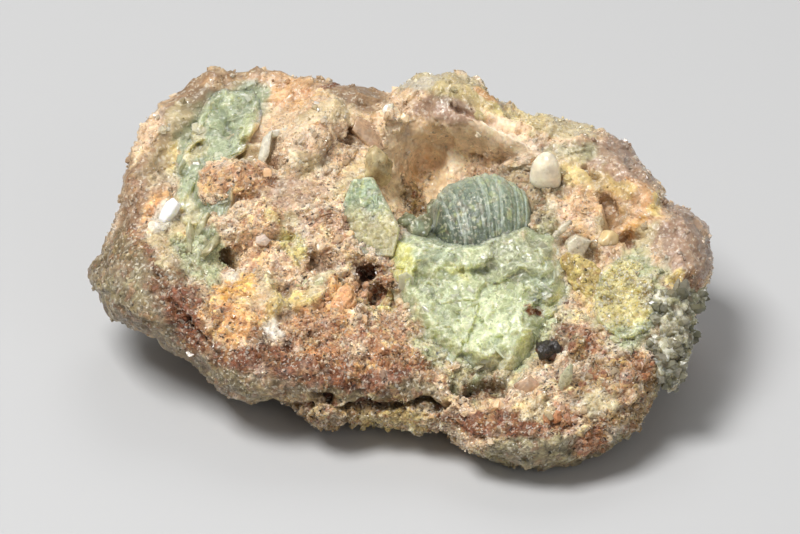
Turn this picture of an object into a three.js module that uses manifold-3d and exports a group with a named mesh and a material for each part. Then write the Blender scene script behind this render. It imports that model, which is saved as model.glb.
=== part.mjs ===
// A hand specimen of prehnite: a fan and a mass of pale green prehnite in the open vug of a
// weathered, rust-brown matrix, with a few colourless crystals. Millimetres, +Z up. The specimen
// rests on its underside at Z = 0, and the origin is the middle of its footprint.
//
// Nearly everything is described in the display frame: a runs to the right, b up the display face
// and d out of it, towards someone who looks at the face from DISPLAY_ELEVATION above the horizon.
import * as THREE from "three";
import { mergeVertices } from "three/addons/utils/BufferGeometryUtils.js";
import Module from "manifold-3d";

const wasm = await Module();
wasm.setup();

// Driving dimensions
const DISPLAY_ELEVATION = THREE.MathUtils.degToRad(32);
const DISPLAY_HEIGHT = 12.5; // height of the display frame's origin above the resting surface
const FACE_LEVEL = 8; // how far the display face stands out in front of that origin
const FACE_FALL = 0.67; // the face leans back by this much for each millimetre up
const BACK_DEPTH = 15; // how far the back reaches behind the display frame's origin
const FACE_CENTRE = new THREE.Vector2(0, 1);
const CRYSTAL_GAP = 0.3; // clearance between a crystal and the rock that it grew on
const CRUMBLE = 0.45; // height of the small lumps all over the rock

// The outline seen square on to the display direction, anticlockwise from the right tip:
// a, b, the height of that point above the resting surface, and the width of the wall that falls
// away between the display face and the outline there.
const OUTLINE = [
  [37.4, 0.2, 10.9, 5], [36.8, 3.4, 11.6, 5], [35.3, 6.2, 12.5, 4], [32.0, 7.8, 14, 4],
  [28.7, 12.0, 17, 4], [26.3, 15.4, 19.5, 3], [20.0, 17.4, 21.5, 2.5], [14.6, 18.5, 22.5, 2],
  [11.3, 20.4, 24.5, 1.5], [9.2, 22.9, 27, 1.5], [5.6, 23.6, 27.5, 1.5], [2.6, 23.5, 27.3, 1.5],
  [-0.1, 21.3, 25, 1.5], [-4.6, 21.7, 25.4, 1.5], [-10.0, 22.4, 26, 1.5], [-15.7, 23.8, 27.5, 1.5],
  [-20.8, 23.4, 27.2, 2], [-24.1, 23.8, 27.3, 2], [-27.4, 21.0, 25.5, 2], [-31.0, 18.9, 24.8, 2.5],
  [-32.5, 13.8, 22.5, 3], [-34.2, 8.7, 19, 5], [-34.0, 7.2, 17.5, 6], [-35.8, 3.9, 13.5, 8],
  [-37.6, -0.9, 9.5, 10], [-36.7, -3.6, 8.5, 10], [-34.3, -6.6, 7.5, 9], [-28.9, -9.0, 6.8, 8],
  [-24.4, -12.3, 5.5, 6.5], [-20.5, -15.8, 4, 5.5], [-13.9, -16.4, 3.5, 5], [-11.8, -18.3, 1.8, 6],
  [-9.7, -19.4, 0.8, 7], [-6.7, -18.9, 0.8, 6.5], [-2.8, -19.0, 0.8, 6.5], [2.0, -20.1, 0.6, 7],
  [5.0, -20.2, 1.0, 6], [8.3, -22.7, 0.6, 6], [12.2, -23.8, 0.3, 6], [18.2, -24.2, 0.3, 6],
  [23.0, -22.2, 1.0, 5], [27.2, -19.8, 2, 5], [30.8, -15.0, 4, 5], [33.4, -11.1, 5.5, 5],
  [34.0, -7.4, 7.2, 4], [34.7, -4.9, 8.8, 4], [36.4, -2.6, 9.8, 4.5],
];

// Lumps (a rise above 0) and hollows (below 0) of the display face: where each lies, its half
// sizes, how far it is turned anticlockwise in degrees, and how square-edged it is, from 1 for a
// soft swelling to 3 for a steep-walled one.
const RELIEF = [
  { is: "vug", at: [6.6, 9.4], half: [7.6, 6.4], turn: 0, rise: -9, edge: 3 },
  { is: "vug throat", at: [1.6, 12.4], half: [3.2, 5.6], turn: 12, rise: -4, edge: 2 },
  { is: "seat of the prehnite mass", at: [10.6, -4.6], half: [9.5, 8.5], turn: 0, rise: -2.5, edge: 2 },
  { is: "back crest", at: [5.8, 21.2], half: [5.0, 2.6], turn: -8, rise: 2.6, edge: 1 },
  { is: "saddle beside the crest", at: [-0.2, 20.6], half: [2.4, 2.6], turn: 0, rise: -1.6, edge: 1 },
  { is: "pink ridge", at: [12.2, 15.2], half: [7.4, 2.3], turn: -18, rise: 2.4, edge: 1 },
  { is: "upper channel", at: [-21.6, 17.4], half: [7.8, 3.2], turn: 34, rise: -3.8, edge: 1 },
  { is: "left channel", at: [-26.2, 9.0], half: [3.2, 7.0], turn: 8, rise: -3.2, edge: 1 },
  { is: "brown mound", at: [-13.4, 10.6], half: [9.6, 6.8], turn: 12, rise: 2.4, edge: 1 },
  { is: "mound shoulder", at: [-9.0, 17.6], half: [5.2, 2.8], turn: 10, rise: 1.8, edge: 1 },
  { is: "pit beside the vug", at: [-5.0, 13.8], half: [2.2, 2.8], turn: -30, rise: -2.8, edge: 1 },
  { is: "orange pad", at: [-18.8, -5.6], half: [5.0, 4.2], turn: 0, rise: 1.4, edge: 2 },
  { is: "round hole", at: [-4.5, -1.4], half: [1.9, 2.0], turn: 0, rise: -4, edge: 1 },
  { is: "green hollow", at: [-1.9, -4.4], half: [2.6, 1.8], turn: -6, rise: -2.4, edge: 1 },
  { is: "left hole", at: [-21.0, 1.2], half: [1.8, 1.7], turn: 0, rise: -3, edge: 1 },
  { is: "middle hole", at: [-10.2, 0.6], half: [2.0, 1.6], turn: -15, rise: -2.2, edge: 1 },
  { is: "orange knob", at: [-7.0, -4.8], half: [2.1, 2.2], turn: 0, rise: 2.0, edge: 1 },
  { is: "front lip", at: [-8.8, -11.4], half: [13.0, 1.8], turn: -4, rise: 1.2, edge: 1 },
  { is: "crack above the ledge", at: [-4.6, -16.2], half: [10.4, 1.3], turn: -4, rise: -1.8, edge: 1 },
  { is: "recess below the prehnite", at: [8.6, -14.2], half: [4.6, 1.8], turn: -10, rise: -2.2, edge: 1 },
  { is: "lower right lobe", at: [18.0, -17.6], half: [9.0, 4.4], turn: 6, rise: 2.2, edge: 1 },
  { is: "left bulge", at: [-32.0, -1.0], half: [4.2, 4.6], turn: 0, rise: 1.8, edge: 1 },
  { is: "right shoulder", at: [29.4, 9.4], half: [3.6, 3.0], turn: -40, rise: 2.2, edge: 1 },
  { is: "right knob", at: [34.0, 0.6], half: [2.8, 3.2], turn: 0, rise: 2.0, edge: 1 },
  { is: "right hole", at: [24.2, 7.2], half: [1.9, 2.1], turn: 20, rise: -3.0, edge: 1 },
  { is: "small right hole", at: [27.6, 3.2], half: [1.7, 1.6], turn: 0, rise: -2.4, edge: 1 },
];

// Blocky lumps that stand out of the rock and are one with it: a, b and half size
const BLOCKS = [
  [-17.6, 15.2, 2.6], [-11.2, 12.6, 3.0], [-19.6, 9.0, 2.8], [-13.0, 6.4, 2.6], [-8.0, 8.4, 2.4],
  [-16.2, 2.4, 2.2], [-1.8, 17.2, 2.4], [20.6, 13.8, 2.4], [25.6, 11.2, 2.3], [21.0, 6.6, 2.2],
  [31.6, 4.0, 2.4], [-28.4, 16.6, 2.2], [-13.6, -9.4, 2.2], [-2.0, -10.4, 2.3], [24.6, -14.0, 2.6],
  [14.2, -17.4, 2.3],
];
const BLOCK_SINK = 0.45; // share of a block's half size that its middle lies below the face

const SKIN_CELLS = 34; // cells along each side of the grids that make the rock's front and back

const sinE = Math.sin(DISPLAY_ELEVATION);
const cosE = Math.cos(DISPLAY_ELEVATION);

// Display frame to the part's frame: tipped back, then lifted
const DISPLAY_TO_PART = new THREE.Matrix4()
  .makeTranslation(0, 0, DISPLAY_HEIGHT)
  .multiply(new THREE.Matrix4().makeRotationX(Math.PI / 2 - DISPLAY_ELEVATION));

// Depth at which a point of the outline has the given height above the resting surface
function rimDepth(b, height) {
  return (height - DISPLAY_HEIGHT - b * cosE) / sinE;
}

function relief(a, b) {
  let sum = 0;
  for (const { at, half, turn, rise, edge } of RELIEF) {
    const angle = THREE.MathUtils.degToRad(turn);
    const da = a - at[0];
    const db = b - at[1];
    const along = (da * Math.cos(angle) + db * Math.sin(angle)) / half[0];
    const across = (db * Math.cos(angle) - da * Math.sin(angle)) / half[1];
    sum += rise * Math.exp(-((along * along + across * across) ** edge));
  }
  return sum;
}

function faceDepth(a, b) {
  return FACE_LEVEL - FACE_FALL * b + relief(a, b);
}

// Small lumps from a few crossed waves of unlike lengths
function crumble(p) {
  const broad = Math.sin(1.1 * p.x + 0.6 * p.y) * Math.sin(0.9 * p.y - 0.7 * p.z + 1.3);
  const fine = Math.sin(1.9 * p.x - 1.2 * p.z + 0.4) * Math.sin(2.3 * p.y + 1.1 * p.x);
  return CRUMBLE * (broad + 0.7 * fine);
}

const loop = (points) => new THREE.CatmullRomCurve3(points, true, "catmullrom", 0.5);
const rimCurve = loop(OUTLINE.map(([a, b, height]) => new THREE.Vector3(a, b, height)));
const wallCurve = loop(OUTLINE.map(([, , , wall]) => new THREE.Vector3(wall, 0, 0)));

// A point of the rock's front: share 0 is the middle of the display face, and 1 is the outline
function frontPoint(turn, share) {
  const rim = rimCurve.getPoint(turn);
  const reach = Math.hypot(rim.x - FACE_CENTRE.x, rim.y - FACE_CENTRE.y);
  const edge = 1 - wallCurve.getPoint(turn).x / reach;
  const a = THREE.MathUtils.lerp(FACE_CENTRE.x, rim.x, share);
  const b = THREE.MathUtils.lerp(FACE_CENTRE.y, rim.y, share);
  if (share <= edge) {
    return new THREE.Vector3(a, b, faceDepth(a, b));
  }
  const fallen = (share - edge) / (1 - edge);
  const low = rimDepth(rim.y, rim.z);
  const kept = Math.sqrt(1 - fallen ** 2.4);
  return new THREE.Vector3(a, b, low + (faceDepth(a, b) - low) * kept);
}

// A point of the rock's back: share 1 is the outline again, and 0 is the middle of the back
function backPoint(turn, share) {
  const rim = rimCurve.getPoint(turn);
  const low = rimDepth(rim.y, rim.z);
  return new THREE.Vector3(
    THREE.MathUtils.lerp(FACE_CENTRE.x, rim.x, share),
    THREE.MathUtils.lerp(FACE_CENTRE.y, rim.y, share),
    -BACK_DEPTH + (low + BACK_DEPTH) * (1 - Math.sqrt(1 - share * share)),
  );
}

// Where a point of the square from -1 to 1 lands on the disc of turn and share: rings of the square
// become rings of the disc, a little closer together towards the outline.
function onDisc(x, y) {
  const ring = Math.max(Math.abs(x), Math.abs(y));
  const share = 0.55 * ring + 0.45 * Math.sin((Math.PI / 2) * ring);
  if (ring === 0) return { turn: 0, share };
  const turn =
    Math.abs(x) > Math.abs(y) ? (x > 0 ? 1 : 0.5) + y / x / 8 : (y > 0 ? 0.25 : 0.75) - x / y / 8;
  return { turn: turn % 1, share };
}

// The rock's whole skin, moved out by swell: one square grid over the front and one over the back,
// which share their border
function rockSkin(swell) {
  const points = [];
  const front = new Map();
  const back = new Map();
  const key = (column, row) => row * (SKIN_CELLS + 1) + column;
  for (let row = 0; row <= SKIN_CELLS; row += 1) {
    for (let column = 0; column <= SKIN_CELLS; column += 1) {
      const { turn, share } = onDisc((2 * column) / SKIN_CELLS - 1, (2 * row) / SKIN_CELLS - 1);
      front.set(key(column, row), points.push(frontPoint(turn, share)) - 1);
      back.set(
        key(column, row),
        share === 1 ? points.length - 1 : points.push(backPoint(turn, share)) - 1,
      );
    }
  }
  const triangles = [];
  for (let row = 0; row < SKIN_CELLS; row += 1) {
    for (let column = 0; column < SKIN_CELLS; column += 1) {
      const corners = [
        key(column, row),
        key(column + 1, row),
        key(column + 1, row + 1),
        key(column, row + 1),
      ];
      const [p, q, r, s] = corners.map((corner) => front.get(corner));
      const [i, j, k, l] = corners.map((corner) => back.get(corner));
      triangles.push(p, q, r, p, r, s, i, k, j, i, l, k);
    }
  }
  const skin = new THREE.BufferGeometry().setFromPoints(points).setIndex(triangles);
  skin.applyMatrix4(DISPLAY_TO_PART);
  skin.computeVertexNormals();
  const position = skin.getAttribute("position");
  const normal = skin.getAttribute("normal");
  const p = new THREE.Vector3();
  const n = new THREE.Vector3();
  for (let i = 0; i < position.count; i += 1) {
    p.fromBufferAttribute(position, i);
    n.fromBufferAttribute(normal, i);
    p.addScaledVector(n, crumble(p) + swell);
    position.setXYZ(i, p.x, p.y, p.z);
  }
  return skin;
}

// Closed geometry to a solid that can be joined and cut
function solidOf(geometry) {
  const bare = geometry.clone();
  for (const name of Object.keys(bare.attributes)) {
    if (name !== "position") bare.deleteAttribute(name);
  }
  const merged = mergeVertices(bare, 1e-4);
  return new wasm.Manifold(
    new wasm.Mesh({
      numProp: 3,
      vertProperties: new Float32Array(merged.getAttribute("position").array),
      triVerts: new Uint32Array(merged.index.array),
    }),
  );
}

function geometryOf(solid) {
  const mesh = solid.getMesh();
  const geometry = new THREE.BufferGeometry();
  geometry.setAttribute("position", new THREE.BufferAttribute(mesh.vertProperties, 3));
  geometry.setIndex(new THREE.BufferAttribute(mesh.triVerts, 1));
  const flat = geometry.toNonIndexed();
  flat.computeVertexNormals();
  return flat;
}

const joined = (solids) => solids.reduce((all, next) => all.add(next));

// The largest of the separate bodies that a cut can leave
function largest(solid) {
  return solid.decompose().reduce((a, b) => (a.volume() > b.volume() ? a : b));
}

// A crystal's geometry put on the rock: its own z axis leaves the display face at a, b, tipped to
// the right and up by angles in degrees, and its origin is lifted clear of the face.
function onFace(geometry, { at, lift = 0, lean = [0, 0], turn = 0 }) {
  const [right, up] = lean.map(THREE.MathUtils.degToRad);
  const place = new THREE.Matrix4()
    .makeTranslation(at[0], at[1], faceDepth(at[0], at[1]) + lift)
    .multiply(new THREE.Matrix4().makeRotationY(right))
    .multiply(new THREE.Matrix4().makeRotationX(-up))
    .multiply(new THREE.Matrix4().makeRotationZ(THREE.MathUtils.degToRad(turn)));
  return geometry.applyMatrix4(place).applyMatrix4(DISPLAY_TO_PART);
}

// The rock with its blocky lumps, swollen by a clearance
function rockSolid(swell) {
  const lumps = BLOCKS.map(([a, b, half], index) =>
    onFace(new THREE.IcosahedronGeometry(half + swell, 0).scale(1, 1, 0.8), {
      at: [a, b],
      lift: -BLOCK_SINK * half,
      lean: [20 * Math.sin(index * 1.3), 20 * Math.cos(index * 2.9)],
      turn: index * 71,
    }),
  );
  return joined([rockSkin(swell), ...lumps].map(solidOf));
}

// Everything below the resting surface
const below = solidOf(new THREE.BoxGeometry(200, 200, 100).translate(0, 0, -50));
const matrix = largest(rockSolid(0).subtract(below));
const matrixAndGap = rockSolid(CRYSTAL_GAP);

// What is left of crystals grown together once the rock and its gap are cut away
const grownOnRock = (geometries) => largest(joined(geometries.map(solidOf)).subtract(matrixAndGap));

// The prehnite fan: tabular crystals side by side like the leaves of a half-open book. Each leaf
// is a rib of a turned profile, and the leaves spread from a hinge below.
const FAN = { at: [9.5, 4.0], lift: 4.0, halfWidth: 6.4, radius: 7.0, ribs: 13, groove: 0.55, hinge: 15 };

function fanGeometry({ halfWidth, radius, ribs, groove, hinge }) {
  const profile = [new THREE.Vector2(0, -halfWidth)];
  const steps = ribs * 2;
  for (let step = 1; step < steps; step += 1) {
    const along = (2 * step) / steps - 1;
    const round = radius * (1 - Math.abs(along) ** 2.6) ** (1 / 2.6);
    profile.push(new THREE.Vector2(round - (step % 2 ? 0 : groove), along * halfWidth));
  }
  profile.push(new THREE.Vector2(0, halfWidth));
  const fan = new THREE.LatheGeometry(profile, 14).rotateZ(-Math.PI / 2);
  const position = fan.getAttribute("position");
  for (let i = 0; i < position.count; i += 1) {
    const spread = position.getX(i) / hinge;
    const arm = hinge + position.getY(i);
    position.setXY(i, arm * Math.sin(spread), arm * Math.cos(spread) - hinge);
  }
  return fan;
}

// The mass in front of the fan: blocky lumps of flat-faced crystals, each a, b and half size
const MASS_LUMPS = [
  [0.4, 4.0, 3.6], [4.6, 2.4, 3.8], [1.6, -0.4, 3.2], [6.4, -1.2, 4.2], [9.2, 0.6, 4.4],
  [13.4, -0.4, 4.4], [16.8, -3.0, 3.8], [18.8, -5.0, 2.6], [3.4, -5.6, 3.7], [6.4, -8.4, 3.8],
  [10.2, -6.6, 5.0], [13.4, -9.2, 4.0], [10.6, -11.4, 3.3], [14.2, -4.4, 4.0], [18.4, -0.8, 2.8],
];
const HOLLOW_LUMPS = [
  [-17.2, 20.0, 3.0], [-19.6, 18.6, 3.2], [-22.2, 17.2, 3.4], [-24.6, 15.2, 3.4], [-25.8, 12.4, 3.3],
  [-26.2, 9.6, 3.2], [-25.8, 6.8, 2.9], [-25.0, 4.2, 2.6],
];
const CRUST_LUMPS = [
  [24.6, -1.0, 3.0], [27.2, 0.2, 2.9], [27.6, -1.6, 2.5], [27.0, -4.2, 2.5], [25.8, -3.6, 3.1],
  [24.4, -4.6, 3.2], [23.2, -7.4, 3.0], [25.0, -7.4, 2.7],
];
const LUMP_SINK = 0.16; // share of a lump's half size that its middle lies below the face

function lumpGeometry([a, b, half], index) {
  const lump = new THREE.DodecahedronGeometry(half, 0).scale(1, 0.92, 0.76);
  return onFace(lump, {
    at: [a, b],
    lift: -LUMP_SINK * half,
    lean: [25 * Math.sin(index * 2.1), 25 * Math.cos(index * 1.7)],
    turn: index * 47,
  });
}

// A tabular crystal: an outline in its own plane, with bevelled edges
function tablet(points, thickness, bevel) {
  const shape = new THREE.Shape(points.map(([x, y]) => new THREE.Vector2(x, y)));
  return new THREE.ExtrudeGeometry(shape, {
    depth: thickness - 2 * bevel,
    bevelThickness: bevel,
    bevelSize: bevel,
    bevelSegments: 1,
    curveSegments: 1,
  }).translate(0, 0, bevel - thickness / 2);
}

// A six-sided crystal with a blunt point, standing on its own z axis
function prism(radius, length, flatten) {
  return new THREE.LatheGeometry(
    [
      new THREE.Vector2(0, -length / 2),
      new THREE.Vector2(radius, -length / 2),
      new THREE.Vector2(radius, length / 4),
      new THREE.Vector2(radius * 0.35, length / 2),
      new THREE.Vector2(0, length / 2),
    ],
    6,
  )
    .rotateX(Math.PI / 2)
    .scale(1, flatten, 1);
}

const PLATE_OUTLINE = [
  [-1.6, 4.6], [0.4, 4.8], [3.7, -0.9], [3.1, -3.6], [-0.3, -4.8], [-3.5, -1.8], [-4.0, 0.2], [-2.9, 2.4],
];

const prehniteCluster = grownOnRock([
  onFace(fanGeometry(FAN), { at: FAN.at, lift: FAN.lift, lean: [0, 14] }),
  onFace(tablet(PLATE_OUTLINE, 4.4, 0.6), { at: [-3.4, 5.4], lift: 1.0, lean: [-16, 10] }),
  ...MASS_LUMPS.map(lumpGeometry),
]);
const prehniteHollow = grownOnRock([
  ...HOLLOW_LUMPS.map(lumpGeometry),
  onFace(prism(1.5, 4.6, 0.7), { at: [-24.4, 3.4], lift: 0.9, lean: [20, 30], turn: 20 }),
]);
const prehniteCrust = grownOnRock(CRUST_LUMPS.map(lumpGeometry));

// Glassy crystals along the lower right edge, close enough to grow into one crust
const DRUSE = { from: 41.4, to: 45.2, crystals: 13, radius: 1.9, length: 4.2, inset: 0.965 };

function druseGeometries({ from, to, crystals, radius, length, inset }) {
  return Array.from({ length: crystals }, (_, index) => {
    const turn = THREE.MathUtils.lerp(from, to, index / (crystals - 1)) / OUTLINE.length;
    const root = frontPoint(turn, inset - 0.02 * (index % 3));
    const out = new THREE.Vector3(root.x, root.y, 0).normalize();
    const tilt = new THREE.Vector3(out.x, out.y, 0.55 + 0.4 * Math.sin(index * 2.3)).normalize();
    return prism(radius * (1 + 0.2 * Math.sin(index * 1.9)), length, 0.85)
      .applyQuaternion(new THREE.Quaternion().setFromUnitVectors(new THREE.Vector3(0, 0, 1), tilt))
      .translate(root.x, root.y, root.z)
      .applyMatrix4(DISPLAY_TO_PART);
  });
}

const edgeDruse = grownOnRock(druseGeometries(DRUSE));

// Single crystals that stand apart from the prehnite
const single = (geometry, place) => grownOnRock([onFace(geometry, place)]);
const paleCrystal = single(prism(1.9, 4.8, 0.85), { at: [17.2, 11.4], lift: 1.4, lean: [-6, 42] });
const vugCrystal = single(prism(1.6, 5.4, 0.7), { at: [-2.6, 11.6], lift: 1.2, lean: [18, 40], turn: 15 });
const whiteCrystal = single(prism(1.5, 4.6, 0.55), { at: [-28.0, 6.4], lift: 1.2, lean: [14, 34], turn: 40 });
const clearCrystal = single(prism(1.5, 4.2, 0.8), { at: [24.4, 3.0], lift: 1.0, lean: [12, 26], turn: 10 });
const frontBlade = single(prism(1.0, 5.0, 0.55), { at: [19.2, -13.6], lift: 0.9, lean: [16, 52], turn: 30 });
const blackGrain = single(new THREE.IcosahedronGeometry(1.5, 0), { at: [17.4, -10.2], lift: 0.3, turn: 25 });

// Finishes
const finish = (color, roughness) => new THREE.MeshStandardMaterial({ color, roughness, metalness: 0 });
const rock = finish(0xb08a6b, 0.85);
const prehnite = finish(0xb6c29c, 0.35);
const paleGreen = finish(0xc6cb97, 0.5);
const glassy = finish(0xe2dcc8, 0.2);
const black = finish(0x2e2a26, 0.4);

const specimen = new THREE.Group();

function addNode(name, solid, material) {
  const mesh = new THREE.Mesh(geometryOf(solid), material);
  mesh.name = name;
  specimen.add(mesh);
}

addNode("matrix", matrix, rock);
addNode("prehnite_cluster", prehniteCluster, prehnite);
addNode("prehnite_in_hollow", prehniteHollow, prehnite);
addNode("prehnite_crust", prehniteCrust, paleGreen);
addNode("edge_druse", edgeDruse, glassy);
addNode("pale_crystal", paleCrystal, glassy);
addNode("vug_crystal", vugCrystal, glassy);
addNode("white_crystal", whiteCrystal, glassy);
addNode("clear_crystal", clearCrystal, glassy);
addNode("front_blade", frontBlade, glassy);
addNode("black_grain", blackGrain, black);

// The origin goes to the middle of the footprint
const box = new THREE.Box3().setFromObject(specimen);
const middle = box.getCenter(new THREE.Vector3());
specimen.children.forEach((mesh) => mesh.position.set(-middle.x, -middle.y, 0));

export default specimen;
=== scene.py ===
"""A hand specimen of prehnite in a weathered rock, dressed for a studio picture.

Shapes are worked out in millimetres in the display frame (a to the right, b up the display face and
d out of it) and put into the part's own frame, in metres, when a mesh is made. A seed only picks one
pattern of many that are alike: its number has no meaning of its own.
"""

from __future__ import annotations

import logging
from collections.abc import Iterable
from dataclasses import dataclass, field
from enum import Enum

import bmesh
import bpy
import numpy as np
from mathutils import Matrix

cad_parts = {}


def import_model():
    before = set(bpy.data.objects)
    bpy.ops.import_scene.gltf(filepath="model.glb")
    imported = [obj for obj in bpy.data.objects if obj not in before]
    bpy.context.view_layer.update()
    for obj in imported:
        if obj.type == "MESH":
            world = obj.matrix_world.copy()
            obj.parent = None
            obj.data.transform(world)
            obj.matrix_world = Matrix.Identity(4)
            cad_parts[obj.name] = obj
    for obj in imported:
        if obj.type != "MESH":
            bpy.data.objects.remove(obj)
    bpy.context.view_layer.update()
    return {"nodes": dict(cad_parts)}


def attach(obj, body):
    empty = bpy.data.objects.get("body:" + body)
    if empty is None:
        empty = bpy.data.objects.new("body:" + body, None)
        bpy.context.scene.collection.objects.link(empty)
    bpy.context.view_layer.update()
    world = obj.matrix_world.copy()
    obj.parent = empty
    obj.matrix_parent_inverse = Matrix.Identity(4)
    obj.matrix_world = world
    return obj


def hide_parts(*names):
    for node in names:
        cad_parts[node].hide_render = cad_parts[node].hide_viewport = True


LOG = logging.getLogger("prehnite")
Array = np.ndarray
Colour = tuple[int, int, int]
Items = bpy.types.bpy_prop_collection
Material = bpy.types.Material
Object = bpy.types.Object
Socket = bpy.types.NodeSocket
Tree = bpy.types.NodeTree
MM = 0.001
TINT = "tint"
CORNERS = np.array([[x, y, z] for x in (0, 1) for y in (0, 1) for z in (0, 1)])
AROUND = np.array([[x, y, z] for x in (-1, 0, 1) for y in (-1, 0, 1) for z in (-1, 0, 1)])

# Columns of a blended look: three of linear light, whose second tells bright from dark, and five more
COLOUR = slice(0, 3)
LIGHT, BLOCKS, CRUMBS, SUGAR, CLEAR, GRIT = 1, 3, 4, 5, 6, 7
LOOK_COLUMNS = 8

# The whitest grains' colour, and the powers to which the painted shade is raised in each channel, so that
# painted shade in hollows is browner as well as darker
FROST = (246, 240, 222)
PAINTED_SHADE_POWERS = np.array([0.9, 1.1, 1.3])


# Noise and blending


def scramble(lattice: Array, seed: int) -> Array:
    """Turns whole-number points into even random values from 0 to 1.

    Args:
        lattice: points of whole numbers, with three columns.
        seed: a number that picks one of many unlike results.

    Returns:
        One value for each point.
    """
    x = lattice.astype(np.int64).astype(np.uint32)
    mixed = x[..., 0] * np.uint32(73856093) ^ x[..., 1] * np.uint32(19349663)
    mixed = mixed ^ x[..., 2] * np.uint32(83492791) ^ np.uint32(seed * 9781 + 17)
    mixed ^= mixed >> np.uint32(16)
    mixed *= np.uint32(0x7FEB352D)
    mixed ^= mixed >> np.uint32(15)
    mixed *= np.uint32(0x846CA68B)
    mixed ^= mixed >> np.uint32(16)
    return mixed / 2.0**32


def smooth_noise(points: Array, scale: float, seed: int) -> Array:
    """Smooth noise from -1 to 1: random lattice values, blended along each axis with 3t^2 - 2t^3.

    Args:
        points: points in millimetres.
        scale: distance between lattice points in millimetres.
        seed: picks the noise.

    Returns:
        One value for each point.
    """
    q = points / scale
    cell = np.floor(q)
    t = q - cell
    t = t * t * (3.0 - 2.0 * t)
    total = np.zeros(points.shape[:-1])
    for corner in CORNERS:
        weight = np.where(corner, t, 1.0 - t).prod(axis=-1)
        total += weight * scramble(cell + corner, seed)
    return 2.0 * total - 1.0


def fractal(points: Array, scale: float, seed: int, octaves: int = 4) -> Array:
    """Sum of smooth noises, each half as wide and half as high as the one before.

    Args:
        points: points in millimetres.
        scale: width of the broadest noise in millimetres.
        seed: picks the noise.
        octaves: how many noises are added.

    Returns:
        One value for each point, mostly from -1 to 1.
    """
    total = np.zeros(points.shape[:-1])
    for octave in range(octaves):
        total += smooth_noise(points, scale / 2.0**octave, seed + 31 * octave) / 2.0**octave
    return total


def drift(points: Array, scale: float, seeds: Iterable[int], octaves: int) -> Array:
    """Fractal noise along as many axes as there are seeds."""
    return np.stack([fractal(points, scale, seed, octaves) for seed in seeds], axis=-1)


def blocks_and_edges(points: Array, scale: float, seed: int) -> tuple[Array, Array]:
    """Height of a heap of flat-faced blocks, from about -1 to 1, and nearness to a block's edge.

    Space is split into cells, one round each of many scattered points. Within a cell the height is a
    random level plus a random slope times the offset from the cell's own point. An edge lies where the
    two nearest points are equally far away.

    Args:
        points: points in millimetres.
        scale: usual size of a block in millimetres.
        seed: picks the heap.

    Returns:
        One height for each point, and nearness from 0 to 1 on an edge.
    """
    q = points / scale
    base = np.floor(q)
    nearest = np.full(points.shape[:-1], np.inf)
    second = nearest.copy()
    offset = np.zeros_like(q)
    owner = np.zeros_like(q)
    for step in AROUND:
        cell = base + step
        away = q - cell - np.stack([scramble(cell, seed + k) for k in range(3)], axis=-1)
        gap = (away**2).sum(axis=-1)
        nearer = gap < nearest
        second = np.where(nearer, nearest, np.minimum(second, gap))
        nearest = np.where(nearer, gap, nearest)
        offset = np.where(nearer[..., None], away, offset)
        owner = np.where(nearer[..., None], cell, owner)
    slope = np.stack([scramble(owner, seed + 7 + k) for k in range(3)], axis=-1) * 2.0 - 1.0
    height = scramble(owner, seed + 11) * 1.2 - 0.6 + (slope * offset).sum(axis=-1)
    return height, np.clip(1.0 - (np.sqrt(second) - np.sqrt(nearest)) / 0.2, 0.0, 1.0)


def facets(points: Array, scale: float, seed: int) -> Array:
    """Only the height of a heap of flat-faced blocks."""
    return blocks_and_edges(points, scale, seed)[0]


def smoothstep(low: float, high: float, value: Array) -> Array:
    """Rises smoothly from 0 at low to 1 at high; low may be the greater."""
    t = np.clip((value - low) / (high - low), 0.0, 1.0)
    return t * t * (3.0 - 2.0 * t)


def mix(first: Array, second: Array, share: Array) -> Array:
    """Rows that are all first where the share is 0 and all second where it is 1."""
    return first + share[..., None] * (second - first)


def oval_place(ab: Array, at: tuple[float, float], half: tuple[float, float], turn: float) -> list[Array]:
    """Where points lie in a turned oval, as shares of its half sizes.

    Args:
        ab: points on the face, with two columns.
        at: the oval's middle.
        half: its half sizes.
        turn: how far it is turned anticlockwise, in degrees.

    Returns:
        Places along and across it, from -1 to 1 between its ends.
    """
    angle = np.radians(turn)
    da = ab[..., 0] - at[0]
    db = ab[..., 1] - at[1]
    along = (da * np.cos(angle) + db * np.sin(angle)) / half[0]
    across = (db * np.cos(angle) - da * np.sin(angle)) / half[1]
    return [along, across]


def unit(vectors: Array) -> Array:
    """Vectors brought to a length of one."""
    return vectors / np.maximum(np.linalg.norm(vectors, axis=-1, keepdims=True), 1e-12)


def linear(colour: Colour) -> Array:
    """A colour as a screen shows it, from 0 to 255, as linear light from 0 to 1."""
    c = np.array(colour) / 255.0
    return np.where(c <= 0.04045, c / 12.92, ((c + 0.055) / 1.055) ** 2.4)


# Frame and meshes


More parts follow.
